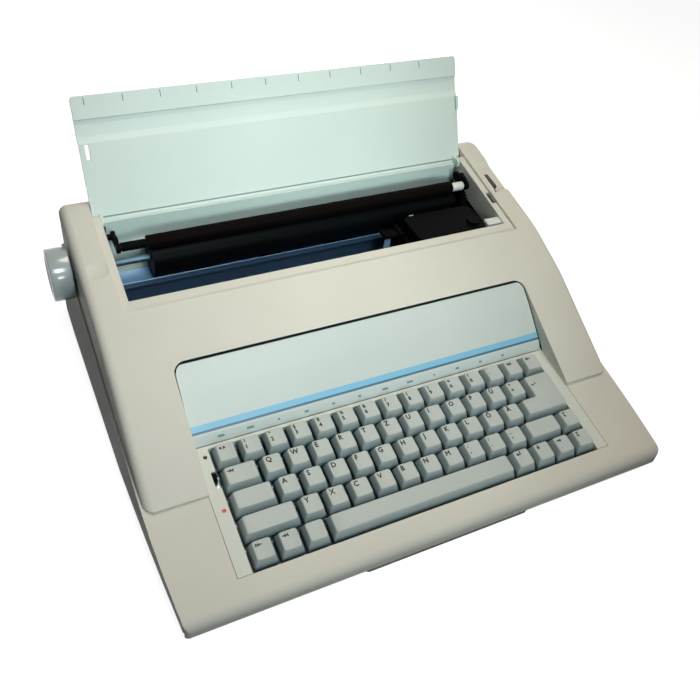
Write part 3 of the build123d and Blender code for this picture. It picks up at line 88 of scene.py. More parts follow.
# the nodes of one material, or of the world
class NodeMaker:

    def __init__(self, owner, fresh=True):
        self.owner = owner
        owner.use_nodes = True
        self.tree = owner.node_tree
        if fresh:
            self.tree.nodes.clear()

    def found(self, kind):
        return [n for n in self.tree.nodes if n.bl_idname == kind][0]

    def make(self, kind, **settings):
        node = self.tree.nodes.new(kind)
        for key, value in settings.items():
            setattr(node, key, value)
        return node

    # a value is a number, a colour, or the socket of another node
    def feed(self, socket, value):
        if isinstance(value, bpy.types.NodeSocket):
            self.tree.links.new(value, socket)
        else:
            socket.default_value = value

    def math(self, operation, *values):
        node = self.make("ShaderNodeMath", operation=operation)
        for socket, value in zip(node.inputs, values):
            self.feed(socket, value)
        return node.outputs["Value"]

    def vectorMath(self, operation, a, b, out="Value"):
        node = self.make("ShaderNodeVectorMath", operation=operation)
        self.feed(node.inputs[0], a)
        self.feed(node.inputs[1], b)
        return node.outputs[out]

    def noise(self, scale, detail=2.0, rough=0.5, stretch=None):
        node = self.make("ShaderNodeTexNoise")
        for name, number in (("Scale", scale), ("Detail", detail), ("Roughness", rough)):
            node.inputs[name].default_value = number
        place = self.place
        if stretch:
            mapping = self.make("ShaderNodeMapping")
            mapping.inputs["Scale"].default_value = stretch
            self.feed(mapping.inputs["Vector"], place)
            place = mapping.outputs["Vector"]
        self.feed(node.inputs["Vector"], place)
        return node.outputs["Fac"]

    def ramp(self, value, low, high, start=0.35, end=0.65):
        node = self.make("ShaderNodeMapRange")
        for name, number in (("From Min", start), ("From Max", end), ("To Min", low), ("To Max", high)):
            node.inputs[name].default_value = number
        self.feed(node.inputs["Value"], value)
        return node.outputs["Result"]

    def mix(self, a, b, factor):
        node = self.make("ShaderNodeMix", data_type="RGBA")
        for slotName, value in (("A", a), ("B", b)):
            self.feed([s for s in node.inputs if s.name == slotName and s.type == "RGBA"][0], value)
        self.feed(node.inputs[0], factor)
        return [s for s in node.outputs if s.type == "RGBA"][0]

    def surface(self, tone, roughness):
        self.feed(self.shader.inputs["Base Color"], tone)
        self.feed(self.shader.inputs["Roughness"], roughness)

    # fine grain over softened edges; depth is a strength, edge a radius in mm
    def bump(self, height, depth, distance, edge):
        node = self.make("ShaderNodeBump")
        node.inputs["Strength"].default_value = depth
        node.inputs["Distance"].default_value = distance
        self.feed(node.inputs["Height"], height)
        if edge > 0:
            soft = self.make("ShaderNodeBevel")
            soft.samples = 4
            soft.inputs["Radius"].default_value = edge * mm
            self.feed(node.inputs["Normal"], soft.outputs["Normal"])
        self.feed(self.shader.inputs["Normal"], node.outputs["Normal"])

    # one shader where the background is looked at, by the camera or through metal or glass
    def bySight(self, unseen, seen):
        path = self.make("ShaderNodeLightPath")
        looked = path.outputs["Is Camera Ray"]
        for name in ("Is Glossy Ray", "Is Transmission Ray"):
            looked = self.math("MAXIMUM", looked, path.outputs[name])
        pick = self.make("ShaderNodeMixShader")
        for socket, value in zip(pick.inputs, (looked, unseen, seen)):
            self.feed(socket, value)
        return pick.outputs["Shader"]


def newMaterial(name):
    m = NodeMaker(bpy.data.materials.new(name))
    m.output = m.make("ShaderNodeOutputMaterial")
    m.shader = m.make("ShaderNodeBsdfPrincipled")
    m.feed(m.output.inputs["Surface"], m.shader.outputs["BSDF"])
    m.place = m.make("ShaderNodeTexCoord").outputs["Object"]
    return m


plasticLook = {
    "cloud": 9.0,                       # scale of the slow drift in tone
    "speck": 0.6,                       # scale of the specks, as a share of the grain's
    "grime": (0.72, 0.70, 0.66), "grimeFrom": 0.55, "grimeTo": 0.75,
    "smoother": 0.05, "rougher": 0.06,
    "bump": 0.0004, "coatRough": 0.12,
}


def plastic(name, color, drift=0.05, rough=0.45, grain=1300.0, depth=0.05, edge=0.35, dirt=0.05, coat=0.0,
            shine=0.5):
    m = newMaterial(name)
    base = linear(color)
    cloud = m.noise(plasticLook["cloud"], detail=4.0)
    speck = m.noise(grain * plasticLook["speck"])
    tone = m.mix(shaded(base, 1 - drift), shaded(base, 1 + drift), m.ramp(cloud, 0, 1))
    grime = tuple(v * f for v, f in zip(base, plasticLook["grime"])) + (1,)
    tone = m.mix(tone, grime, m.ramp(speck, 0, dirt, plasticLook["grimeFrom"], plasticLook["grimeTo"]))
    m.surface(tone, m.ramp(cloud, rough - plasticLook["smoother"], rough + plasticLook["rougher"]))
    m.bump(m.noise(grain), depth, plasticLook["bump"], edge)
    m.shader.inputs["Specular IOR Level"].default_value = shine
    if coat:
        m.shader.inputs["Coat Weight"].default_value = coat
        m.shader.inputs["Coat Roughness"].default_value = plasticLook["coatRough"]
    return m.owner


metalLook = {
    "lighter": 1.15, "darker": 0.8, "cloud": 25.0, "smoother": 0.06, "rougher": 0.1,
    "depth": 0.05, "bump": 0.0003, "edge": 0.3,
}


def metal(name, color, rough, brush):
    m = newMaterial(name)
    m.shader.inputs["Metallic"].default_value = 1.0
    base = linear(color)
    streak = m.noise(1.0, detail=4.0, rough=0.6, stretch=brush)
    cloud = m.noise(metalLook["cloud"], detail=3.0)
    tone = m.mix(shaded(base, metalLook["darker"]), shaded(base, metalLook["lighter"]), m.ramp(streak, 0, 1))
    m.surface(tone, m.ramp(cloud, rough - metalLook["smoother"], rough + metalLook["rougher"]))
    m.bump(streak, metalLook["depth"], metalLook["bump"], metalLook["edge"])
    return m.owner


casePlastic = plastic("casePlastic", (219, 216, 206), drift=0.03, rough=0.5, depth=0.10, edge=0.5, shine=0.03)
lidPlastic = plastic("lidPlastic", (218, 232, 226), drift=0.03, rough=0.46, depth=0.08, edge=0.4)
keyPlastic = plastic("keyPlastic", (186, 193, 190), drift=0.03, rough=0.42, depth=0.08, edge=0.0, shine=0.3)
framePlastic = plastic("framePlastic", (206, 210, 201), drift=0.03, rough=0.5, depth=0.10, edge=0.3)
knobPlastic = plastic("knobPlastic", (158, 168, 170), drift=0.02, rough=0.2, grain=700, depth=0.01, edge=0.0,
                      coat=0.5)
blackPlastic = plastic("blackPlastic", (12, 12, 14), drift=0.2, rough=0.5, depth=0.05, dirt=0.0, shine=0.02)
darkPlastic = plastic("darkPlastic", (52, 50, 48), drift=0.1, rough=0.45, depth=0.08, shine=0.35)
rubber = plastic("platenRubber", (5, 8, 10), drift=0.2, rough=0.4, grain=900, depth=0.03, dirt=0.0,
                 shine=0.03)
rollerRubber = plastic("rollerRubber", (11, 7, 7), drift=0.2, rough=0.55, grain=900, depth=0.03, dirt=0.0,
                       shine=0.02)
footRubber = plastic("footRubber", (30, 30, 31), drift=0.2, rough=0.7, depth=0.15)
# dark navy of the deflector beam: partly the bluish tint of plated steel, partly painted shade
shadedNavy = plastic("shadedNavy", (46, 72, 100), drift=0.1, rough=0.35, grain=900, depth=0.04, dirt=0.03,
                    shine=0.3)
tablePlastic = plastic("tablePlastic", (212, 232, 226), drift=0.04, rough=0.4, depth=0.05)
panPlastic = plastic("panPlastic", (120, 160, 200), drift=0.05, rough=0.35, depth=0.03)
zincSteel = metal("zincSteel", (150, 166, 176), 0.38, (60, 60, 60))
brightSteel = metal("brightSteel", (190, 192, 196), 0.22, (2500, 60, 60))
darkSteel = metal("darkSteel", (84, 108, 124), 0.5, (2500, 60, 60))
blackSteel = plastic("blackSteel", (10, 10, 12), drift=0.2, rough=0.35, depth=0.02, dirt=0.0, shine=0.05)
boardGreen = plastic("boardGreen", (38, 84, 52), drift=0.2, rough=0.35, depth=0.1)
sheetPlastic = plastic("sheetPlastic", (120, 130, 134), drift=0.1, rough=0.4)
leverBlue = plastic("leverBlue", (150, 196, 226), drift=0.03, rough=0.35, dirt=0.0)
beltRubber = plastic("beltRubber", (24, 24, 24), drift=0.2, rough=0.6, grain=600, depth=0.3)
inkBlack = plastic("inkBlack", (26, 27, 30), drift=0.15, rough=0.5, depth=0.0, edge=0.0, dirt=0.0)
inkTeal = plastic("inkTeal", (96, 138, 150), drift=0.1, rough=0.5, depth=0.0, edge=0.0, dirt=0.0)
# grey of the painted shadow line at the lid's foot
footShadowGrey = plastic("footShadowGrey", (128, 148, 150), drift=0.05, rough=0.5, dirt=0.0)
paleTab = plastic("paleTab", (222, 224, 220), drift=0.03, rough=0.4, dirt=0.0)

looks = {
    casePlastic: ["bottom_case", "front_deck", "top_cover"],
    framePlastic: ["keyboard_frame"],
    lidPlastic: ["lid"],
    knobPlastic: ["platen_knob"],
    blackPlastic: [
        "power_switch_slider", "ribbon_cassette", "ribbon_knob", "bail_arms", "carriage_frame", "platen_gear",
        "linefeed_pinion", "mains_inlet", "motor_pulley", "idler_pulley", "platen_bushes", "daisy_wheel",
        "board_components", "wheel_release_lever",
    ],
    darkPlastic: ["carry_handle", "paper_release_lever"],
    rubber: ["platen", "feed_rollers"],
    rollerRubber: ["bail_roller"],
    footRubber: ["rubber_feet"],
    shadedNavy: ["deflector_beam"],
    tablePlastic: ["paper_table"],
    panPlastic: ["paper_pan"],
    darkSteel: ["platen_shaft"],
    zincSteel: [
        "left_side_plate", "right_side_plate", "guide_rail", "key_plate", "case_screws", "carriage_motor",
        "linefeed_motor", "wheel_motor", "transformer",
    ],
    brightSteel: ["guide_shaft", "feed_roller_shaft", "print_hammer"],
    blackSteel: ["bail_rod"],
    boardGreen: ["main_board"],
    sheetPlastic: ["keyboard_membrane"],
    beltRubber: ["carriage_belt"],
}


def dress(node, material):
    mesh = nodes[node].data
    mesh.materials.clear()
    mesh.materials.append(material)


for material, names in looks.items():
    for name in names:
        dress(name, material)


# how far the surface lies along a direction from the slope's origin
def along(m, direction):
    shift = m.vectorMath("SUBTRACT", m.place, slopeOrigin, "Vector")
    return m.vectorMath("DOT_PRODUCT", shift, direction)


# one above a limit or below it, with a soft step between
def above(m, value, limit, soft):
    return m.ramp(value, 0, 1, (limit - soft) * mm, (limit + soft) * mm)


def below(m, value, limit, soft):
    return m.ramp(value, 1, 0, (limit - soft) * mm, (limit + soft) * mm)


# lays a second colour over a material, where the mask is one
def tint(material, color, mask):
    m = NodeMaker(material, fresh=False)
    m.shader = m.found("ShaderNodeBsdfPrincipled")
    m.place = m.found("ShaderNodeTexCoord").outputs["Object"]
    paint = m.shader.inputs["Base Color"]
    tone = m.mix(paint.links[0].from_socket, linear(color), mask(m))
    m.feed(paint, tone)


# the skirts of the keys are in each other's shade, and look darker and bluer
skirtLook = {"color": (112, 140, 147), "from": -8.0, "to": -0.6, "share": 0.8}


def skirtMask(m):
    low, high = skirtLook["from"] * mm, skirtLook["to"] * mm
    return m.ramp(along(m, offSlope), skirtLook["share"], 0, low, high)


tint(keyPlastic, skirtLook["color"], skirtMask)

# painted shade round the panel: the walls of the hood's bay, just under the panel's face, are darkened
bayShadeLook = {
    "color": (28, 40, 46), "half": 154.08, "back": 148.7, "low": 93.0, "under": 0.35,
    "soft": 0.02, "startFade": 0.1, "faceFade": 0.05,
    "bends": [(100.0, -1.5), (128.0, 16.0), (147.3, 25.6)],     # panel's face, up and off the slope
}


def bayShadeMask(m):
    split = m.make("ShaderNodeSeparateXYZ")
    m.feed(split.inputs["Vector"], m.place)
    aside = m.math("ABSOLUTE", split.outputs["X"])
    back, rise = along(m, upSlope), along(m, offSlope)
    low, soft = bayShadeLook["low"], bayShadeLook["soft"]
    mask = below(m, aside, bayShadeLook["half"], soft)
    masks = [
        below(m, back, bayShadeLook["back"], soft),
        m.ramp(back, 0, 1, low * mm, (low + bayShadeLook["startFade"]) * mm),
    ]
    bends = bayShadeLook["bends"]
    for (y0, z0), (y1, z1) in zip(bends, bends[1:]):
        steep = (z1 - z0) / (y1 - y0)
        line = m.math("MULTIPLY_ADD", back, steep, (z0 - steep * y0 - bayShadeLook["under"]) * mm)
        masks.append(m.ramp(m.math("SUBTRACT", line, rise), 0, 1, 0, bayShadeLook["faceFade"] * mm))
    for other in masks:
        mask = m.math("MULTIPLY", mask, other)
    return mask


# painted shade on the walls of the hood's bay round the panel
tint(casePlastic, bayShadeLook["color"], bayShadeMask)

# panel above the keys, with bands of colour by height on the slope
panelLook = {
    "color": (199, 209, 206), "darker": 0.96, "cloud": 12.0, "rough": (0.36, 0.46), "grain": 1300.0,
    "depth": 0.06, "edge": 0.4, "soft": 0.12,
    # from, to and colour of the stripe, its dark line and the seam
    "bands": [(101.4, 106.8, (126, 188, 218)), (101.4, 102.9, (66, 104, 128)), (94.0, 95.1, (84, 104, 110))],
}


def makePanel(m):
    base = linear(panelLook["color"])
    cloud = m.noise(panelLook["cloud"], detail=4.0)
    height = along(m, upSlope)
    tone = m.mix(shaded(base, panelLook["darker"]), base, m.ramp(cloud, 0, 1))
    for low, high, color in panelLook["bands"]:
        soft = panelLook["soft"]
        within = m.math("MULTIPLY", above(m, height, low, soft), below(m, height, high, soft))
        tone = m.mix(tone, linear(color), within)
    m.surface(tone, m.ramp(cloud, *panelLook["rough"]))
    m.bump(m.noise(panelLook["grain"]), panelLook["depth"], plasticLook["bump"], panelLook["edge"])
    return m.owner


dress("keyboard_panel", makePanel(newMaterial("panelPlastic")))

# lamps: the lower one is lit, and its red light on the frame round it is painted into the frame's colour
lampLook = {
    "x": -147.8, "lit": 43.1, "reach": 3.4, "glowReach": 20.0, "core": 0.3, "glow": 0.9,
    "rough": 0.15, "grain": 600.0,
    "dark": (44, 8, 9), "light": (70, 12, 12), "lamp": (1.0, 0.05, 0.04, 1), "spill": (240, 150, 150),
}


def litShare(m, reach):
    away = m.vectorMath("DISTANCE", m.place, onSlope(lampLook["x"], lampLook["lit"], 0))
    return m.ramp(away, 1, 0, lampLook["core"] * reach * mm, reach * mm)


def makeLamps(m):
    cloud = m.noise(lampLook["grain"])
    tone = m.mix(linear(lampLook["dark"]), linear(lampLook["light"]), m.ramp(cloud, 0, 1))
    m.surface(tone, lampLook["rough"])
    m.shader.inputs["Emission Color"].default_value = lampLook["lamp"]
    strength = m.math("MULTIPLY", litShare(m, lampLook["glowReach"]), lampLook["glow"])
    m.feed(m.shader.inputs["Emission Strength"], strength)
    return m.owner


def litMask(m):
    return litShare(m, lampLook["reach"])


dress("status_lamps", makeLamps(newMaterial("lampRed")))
# painted red light of the lit lamp on the frame round it
tint(framePlastic, lampLook["spill"], litMask)
print("materials set")


# the tools that the pieces are made with
boxFaces = ((0, 2, 3, 1), (4, 5, 7, 6), (0, 1, 5, 4), (2, 6, 7, 3), (0, 4, 6, 2), (1, 3, 7, 5))


def addBox(bm, place, low, high):
    corners = [bm.verts.new(place(x, y, z)) for z in (low[2], high[2]) for y in (low[1], high[1])
               for x in (low[0], high[0])]
    for quad in boxFaces:
        bm.faces.new([corners[i] for i in quad])


def bridge(bm, a, b, inward=False):
    for i in range(len(a)):
        j = (i + 1) % len(a)
        if inward:
            i, j = j, i
        bm.faces.new((a[i], a[j], b[j], b[i]))


def rectangle(x0, x1, y0, y1):
    return [(x0, y0), (x1, y0), (x1, y1), (x0, y1)]


def finishPiece(bm, name, material, body, *, smooth=True, replaced=()):
    bmesh.ops.recalc_face_normals(bm, faces=bm.faces)
    mesh = bpy.data.meshes.new(name)
    bm.to_mesh(mesh)
    bm.free()
    piece = bpy.data.objects.new(name, mesh)
    scene.collection.objects.link(piece)
    mesh.materials.append(material)
    if smooth:
        for polygon in mesh.polygons:
            polygon.use_smooth = True
    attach(piece, body)
    if replaced:
        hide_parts(*replaced)
    return piece


def bodyOf(node):
    for body, members in frame["record"]["behaviour"]["bodies"].items():
        if node in members:
            return body


# keys: dished shells on a stem, in mm
keyShape = {
    "base": 18.2, "height": 10.3, "sideInset": 2.8, "frontInset": 3.5, "backInset": 1.7, "edge": 0.55,
    "dish": 0.6, "dishedFrom": 5, "widestDish": 2.5, "shrinks": (0.86, 0.68, 0.46, 0.22),
    "wall": 1.3, "roof": -1.8, "roofShare": 0.85, "innerRound": 0.9,
    "stem": 2, "stemFoot": -16.6, "stemTop": -1.7, "barStem": 48,
}
# the rings of a cap, from its foot up: height, share of the taper, corner radius, further inset
capRings = [
    (-keyShape["height"], 0.0, 1.2, 0.0), (-keyShape["height"] * 0.6, 0.4, 1.35, 0.0),
    (-1.6, 0.85, 1.7, 0.0), (-0.75, 0.925, 1.8, 0.0), (-0.35, 0.965, 1.8, 0.10), (-0.1, 1.0, 1.8, 0.36),
    (0.0, 1.0, 1.7, keyShape["edge"]),
]
# the keys of each node: first cell, width in cells, row from the front
keyRows = {
    "number_row_keys": [(unit, 1, 4) for unit in range(15)],
    "tab_key": [(0, 1.5, 3)],
    "top_letter_keys": [(1.5 + unit, 1, 3) for unit in range(12)],
    "caps_lock_key": [(0, 1.75, 2)],
    "home_letter_keys": [(1.75 + unit, 1, 2) for unit in range(11)],
    "left_shift_key": [(0, 2.25, 1)],
    "bottom_letter_keys": [(2.25 + unit, 1, 1) for unit in range(10)],
    "right_shift_key": [(12.25, 1.75, 1)],
    "margin_keys": [(unit, 1, 0) for unit in range(3)],
    "spacebar": [(3, 8, 0)],
    "function_keys": [(14, 1, 1), (11, 1, 0), (12, 1, 0), (13, 1, 0), (14, 1, 0)],
}
capGap = (pitch - keyShape["base"]) / 2
baseFront = -keyShape["frontInset"]
baseBack = baseFront + keyShape["base"]
middleCell = 7.5                            # half of the 15 cells in a row


def cellX(unit):
    return (unit - middleCell) * pitch


# an outline with rounded corners, as a loop of points; split is the number of points on each side
def roundedLoop(points, radius, steps=5, split=3):
    loop = []
    count = len(points)
    for i in range(count):
        before, here, after = (Vector(points[(i + k) % count]) for k in (-1, 0, 1))
        a = (before - here).normalized()
        b = (after - here).normalized()
        cornerEnd = here + b * radius
        centre = here + (a + b) * radius
        for k in range(steps):
            t = k / (steps - 1) * pi / 2
            loop.append(centre - b * radius * cos(t) - a * radius * sin(t))
        nextStart = after - (after - here).normalized() * radius
        for k in range(1, split + 1):
            loop.append(cornerEnd.lerp(nextStart, k / (split + 1)))
    return loop


# depth of the dish at x from the left of a key's first cell; the spacebar is flat
def dishAt(x, units):
    if units > keyShape["widestDish"]:
        return 0.0
    middle = units * pitch / 2
    halfWidth = middle - capGap - keyShape["sideInset"]
    return -keyShape["dish"] * max(0.0, 1 - ((x - middle) / halfWidth) ** 2)


def capLoop(outline, share, inset, radius):
    side, front, back = (keyShape[name] * share + inset for name in ("sideInset", "frontInset", "backInset"))
    return roundedLoop(outline(side, front, back), radius)


# middle and units are given for a cap with a dish
def addCap(bm, place, outline, middle=None, units=None):
    rings = []
    for z, share, radius, inset in capRings:
        rings.append([(p.x, p.y, z) for p in capLoop(outline, share, inset, radius)])
    if units:
        rim = [Vector(p[:2]) for p in rings[-1]]
        for shrink in keyShape["shrinks"]:
            loop = [middle + (p - middle) * shrink for p in rim]
            rings.append([(p.x, p.y, 0.0) for p in loop])
    made = []
    for index, ring in enumerate(rings):
        row = []
        for x, y, z in ring:
            if units and index >= keyShape["dishedFrom"]:
                z += dishAt(x, units)
            row.append(bm.verts.new(place(x, y, z)))
        made.append(row)
    for a, b in zip(made, made[1:]):
        bridge(bm, a, b)
    bm.faces.new(made[-1])
    # inner wall and roof, so that the cap is a shell seen from below
    inner = [made[0]]
    for z, share in ((-keyShape["height"], 0.0), (keyShape["roof"], keyShape["roofShare"])):
        loop = capLoop(outline, share, keyShape["wall"], keyShape["innerRound"])
        inner.append([bm.verts.new(place(p.x, p.y, z)) for p in loop])
    for a, b in zip(inner, inner[1:]):
        bridge(bm, a, b, inward=True)
    bm.faces.new(list(reversed(inner[-1])))


def addStem(bm, x, y):
    half = keyShape["stem"]
    addBox(bm, onSlope, (x - half, y - half, keyShape["stemFoot"]), (x + half, y + half, keyShape["stemTop"]))


def stemXs(units):
    centre = units * pitch / 2
    apart = keyShape["barStem"]
    return (centre - apart, centre + apart) if units > keyShape["widestDish"] else (centre,)


def addKey(bm, unit, units, row):
    left, foot = cellX(unit), row * pitch
    x0, x1 = capGap, units * pitch - capGap

    def outline(side, front, back):
        return rectangle(x0 + side, x1 - side, baseFront + front, baseBack - back)

    def place(x, y, z):
        return onSlope(left + x, foot + y, z)

    middle = Vector((units * pitch / 2, (baseBack - keyShape["backInset"]) / 2))
    addCap(bm, place, outline, middle, units)
    for x in stemXs(units):
        addStem(bm, left + x, foot + (baseFront + baseBack) / 2)


for label, keys in keyRows.items():
    bm = bmesh.new()
    for unit, units, row in keys:
        addKey(bm, unit, units, row)
    finishPiece(bm, label + "Caps", keyPlastic, bodyOf(label), replaced=[label])

# the return key is an L: its lower part is wider, and starts in row 2
returnShape = {"lower": 12.75, "upper": 13.5, "right": 15, "row": 2}


def returnOutline(side, front, back):
    lower = cellX(returnShape["lower"]) + capGap + side
    upper = cellX(returnShape["upper"]) + capGap + side
    right = cellX(returnShape["right"]) - capGap - side
    low = returnShape["row"] * pitch + baseFront + front
    step = returnShape["row"] * pitch + baseBack - back
    high = (returnShape["row"] + 1) * pitch + baseBack - back
    return [(lower, low), (right, low), (right, high), (upper, high), (upper, step), (lower, step)]


bm = bmesh.new()
addCap(bm, onSlope, returnOutline)
addStem(bm, (cellX(returnShape["upper"]) + cellX(returnShape["right"])) / 2,
        returnShape["row"] * pitch + baseBack)
finishPiece(bm, "return_keyCap", keyPlastic, bodyOf("return_key"), replaced=["return_key"])
print("keys made")


# legends: each mark is laid down as four strokes, a little apart, which thickens it
legendLook = {
    "size": 5.5, "top": 0.6, "left": 1.0, "lift": 0.05, "capital": 0.72,
    "small": 3.9, "pairTop": 0.7, "pairStep": 5.0, "lowerSize": 1.15,
    "arrow": 1.4, "arrowRise": 0.36, "returnSize": 4.6, "returnAt": (4.5, 22), "returnStretch": 1.2,
    "strokes": [(0, 0, 0), (0.5, 0, 0.006), (0.25, 0.3, 0.012), (0.25, -0.22, 0.018)],
}
arrows = {
    "left": [((0, 0), (1.3, 0.8), (1.3, -0.8)), ((1.3, 0.18), (3.2, 0.18), (3.2, -0.18), (1.3, -0.18))],
    "right": [((3.2, 0), (1.9, -0.8), (1.9, 0.8)), ((0, -0.18), (1.9, -0.18), (1.9, 0.18), (0, 0.18))],
    "both": [((0, 0), (1.3, 0.8), (1.3, -0.8)), ((3.6, 0), (2.3, -0.8), (2.3, 0.8))],
    "stop": [((2.6, 0), (1.3, -0.8), (1.3, 0.8)), ((2.7, -0.8), (3.05, -0.8), (3.05, 0.8), (2.7, 0.8)),
             ((0, -0.18), (1.3, -0.18), (1.3, 0.18), (0, 0.18))],
    "start": [((0.45, 0), (1.75, 0.8), (1.75, -0.8)), ((0, -0.8), (0.35, -0.8), (0.35, 0.8), (0, 0.8)),
              ((1.75, -0.18), (3.2, -0.18), (3.2, 0.18), (1.75, 0.18))],
    "back": [((0, 0), (1.1, 0.8), (1.1, -0.8)), ((1.1, -0.18), (2.9, -0.18), (2.9, 0.18), (1.1, 0.18)),
             ((2.55, 0.18), (2.9, 0.18), (2.9, 1.9), (2.55, 1.9))],
    "bar": [((0.8, -0.9), (1.15, -0.9), (1.15, 0.9), (0.8, 0.9)),
            ((0.2, 0.9), (1.75, 0.9), (1.75, 1.2), (0.2, 1.2)),
            ((0.2, -1.2), (1.75, -1.2), (1.75, -0.9), (0.2, -0.9))],
    "down": [((0, 0.2), (1.0, -1.0), (2.0, 0.2)), ((0.82, 0.2), (1.18, 0.2), (1.18, 1.4), (0.82, 1.4))],
}
numberSigns = [
    ("1", "!"), ("2", '"'), ("3", "§"), ("4", "$"), ("5", "%"), ("6", "&"), ("7", "/"), ("8", "("),
    ("9", ")"), ("0", "="), ("ß", "?"), ("´", "`"),
]
legends = {
    "number_row_keys": [("both",)] + numberSigns + [("stop",), ("left",)],
    "tab_key": [("stop",)],
    "top_letter_keys": [(letter,) for letter in "QWERTZUIOPÜ"] + [("+", "*")],
    "home_letter_keys": [(letter,) for letter in "ASDFGHJKLÖÄ"],
    "bottom_letter_keys": [(letter,) for letter in "YXCVBNM"] + [(",", ";"), (".", ":"), ("-", "_")],
    "margin_keys": [("start",), ("stop",), ()],
    "function_keys": [("bar",), ("back",), ("down",), ("right",), ("bar",)],
}
glyphStore = {}


# the faces of an arrow, or of a letter or sign from Blender's own font
def glyph(text, size):
    if text in arrows:
        big, rise = legendLook["arrow"], size * legendLook["arrowRise"]
        return [[(x * big, y * big + rise) for x, y in face] for face in arrows[text]]
    key = (text, size)
    if key not in glyphStore:
        curve = bpy.data.curves.new("glyph", "FONT")
        curve.body = text
        curve.size = size
        curve.resolution_u = 2
        holder = bpy.data.objects.new("glyph", curve)
        mesh = bpy.data.meshes.new_from_object(holder)
        faces = [[tuple(mesh.vertices[i].co[:2]) for i in polygon.vertices] for polygon in mesh.polygons]
        left = min((x for face in faces for x, y in face), default=0)
        glyphStore[key] = [[(x - left, y) for x, y in face] for face in faces]
        bpy.data.objects.remove(holder)
        bpy.data.curves.remove(curve)
        bpy.data.meshes.remove(mesh)
    return glyphStore[key]


def printGlyph(bm, text, size, cell, x, y):
    unit, units, row = cell
    for shiftX, shiftY, rise in legendLook["strokes"]:
        for face in glyph(text, size):
            verts = []
            for u, v in face:
                across = x + u + shiftX
                z = dishAt(across, units) + legendLook["lift"] + rise
                verts.append(bm.verts.new(onSlope(cellX(unit) + across, row * pitch + y + v + shiftY, z)))
            bm.faces.new(verts)


# one mark stands at the top left of its key, two stand one over the other
def printMarks(bm, cell, marks):
    left = capGap + keyShape["sideInset"] + keyShape["edge"] + legendLook["left"]
    topBack = baseBack - keyShape["backInset"] - keyShape["edge"]
    if len(marks) == 1:
        size = legendLook["size"]
        y = topBack - legendLook["top"] - size * legendLook["capital"]
        printGlyph(bm, marks[0], size, cell, left, y)
    elif marks:
        size = legendLook["small"]
        y = topBack - legendLook["pairTop"] - size * legendLook["capital"]
        printGlyph(bm, marks[1], size, cell, left, y)
        printGlyph(bm, marks[0], size * legendLook["lowerSize"], cell, left, y - legendLook["pairStep"])


for label, texts in legends.items():
    bm = bmesh.new()
    for cell, marks in zip(keyRows[label], texts):
        printMarks(bm, cell, marks)
    finishPiece(bm, label + "Legends", inkBlack, bodyOf(label), smooth=False)

bm = bmesh.new()
arrowX = cellX(returnShape["upper"]) + legendLook["returnAt"][0]
arrowY = returnShape["row"] * pitch + legendLook["returnAt"][1]
for face in glyph("back", legendLook["returnSize"]):
    wide = [(arrowX + u * legendLook["returnStretch"], arrowY + v) for u, v in face]
    bm.faces.new([bm.verts.new(onSlope(x, y, legendLook["lift"])) for x, y in wide])
finishPiece(bm, "return_keyLegend", inkBlack, bodyOf("return_key"), smooth=False)

# short plain marks on the strip under the stripe; low and high are places up and off the slope
markLook = {
    "count": 12, "from": -132.0, "step": 22.4, "low": (97.2, -4.61), "high": (98.3, -3.39), "lift": 0.06,
    "widths": [5.0, 5.5, 1.6, 3.4, 2.6, 2.6],
}
bm = bmesh.new()
for k in range(markLook["count"]):
    x = markLook["from"] + k * markLook["step"]
    half = markLook["widths"][k % len(markLook["widths"])] / 2
    lift = markLook["lift"]
    corners = rectangle(x - half, x + half, markLook["low"], markLook["high"])
    bm.faces.new([bm.verts.new(onSlope(u, y - lift, z + lift)) for u, (y, z) in corners])
finishPiece(bm, "panelMarks", inkTeal, "machine", smooth=False)
print("legends made")


# lid: ticks along its ruler strip, a painted shadow line across its foot, and a painted highlight line under
# it
tickLook = {
    "count": 11, "from": -164.4, "step": 30.0, "low": 91.0, "high": 96.6, "width": 0.7,
    "face": -4.86,                      # the ruler strip's face, as seen when the lid is open
}
bm = bmesh.new()
for k in range(tickLook["count"]):
    x = tickLook["from"] + k * tickLook["step"]
    half = tickLook["width"] / 2
    corners = rectangle(x - half, x + half, tickLook["low"], tickLook["high"])
    bm.faces.new([bm.verts.new(onLid(u, v, tickLook["face"])) for u, v in corners])
finishPiece(bm, "rulerTicks", inkTeal, bodyOf("lid"), smooth=False)

# thin sheets on the lid's foot: grey for a painted shadow line in the gap, pale for a painted highlight below
# it
footLines = {
    "footShadowLine": {"half": 168.0, "low": 2.2, "high": 3.5, "from": -4.9, "to": -4.74, "look": footShadowGrey},
    "footHighlightLine": {"half": 160.0, "low": -1.4, "high": 0.5, "from": -5.0, "to": -4.2, "look": paleTab},
}
for name, line in footLines.items():
    bm = bmesh.new()
    addBox(bm, onLid, (-line["half"], line["low"], line["from"]), (line["half"], line["high"], line["to"]))
    finishPiece(bm, name, line["look"], bodyOf("lid"), smooth=False)
print("lid lines made")


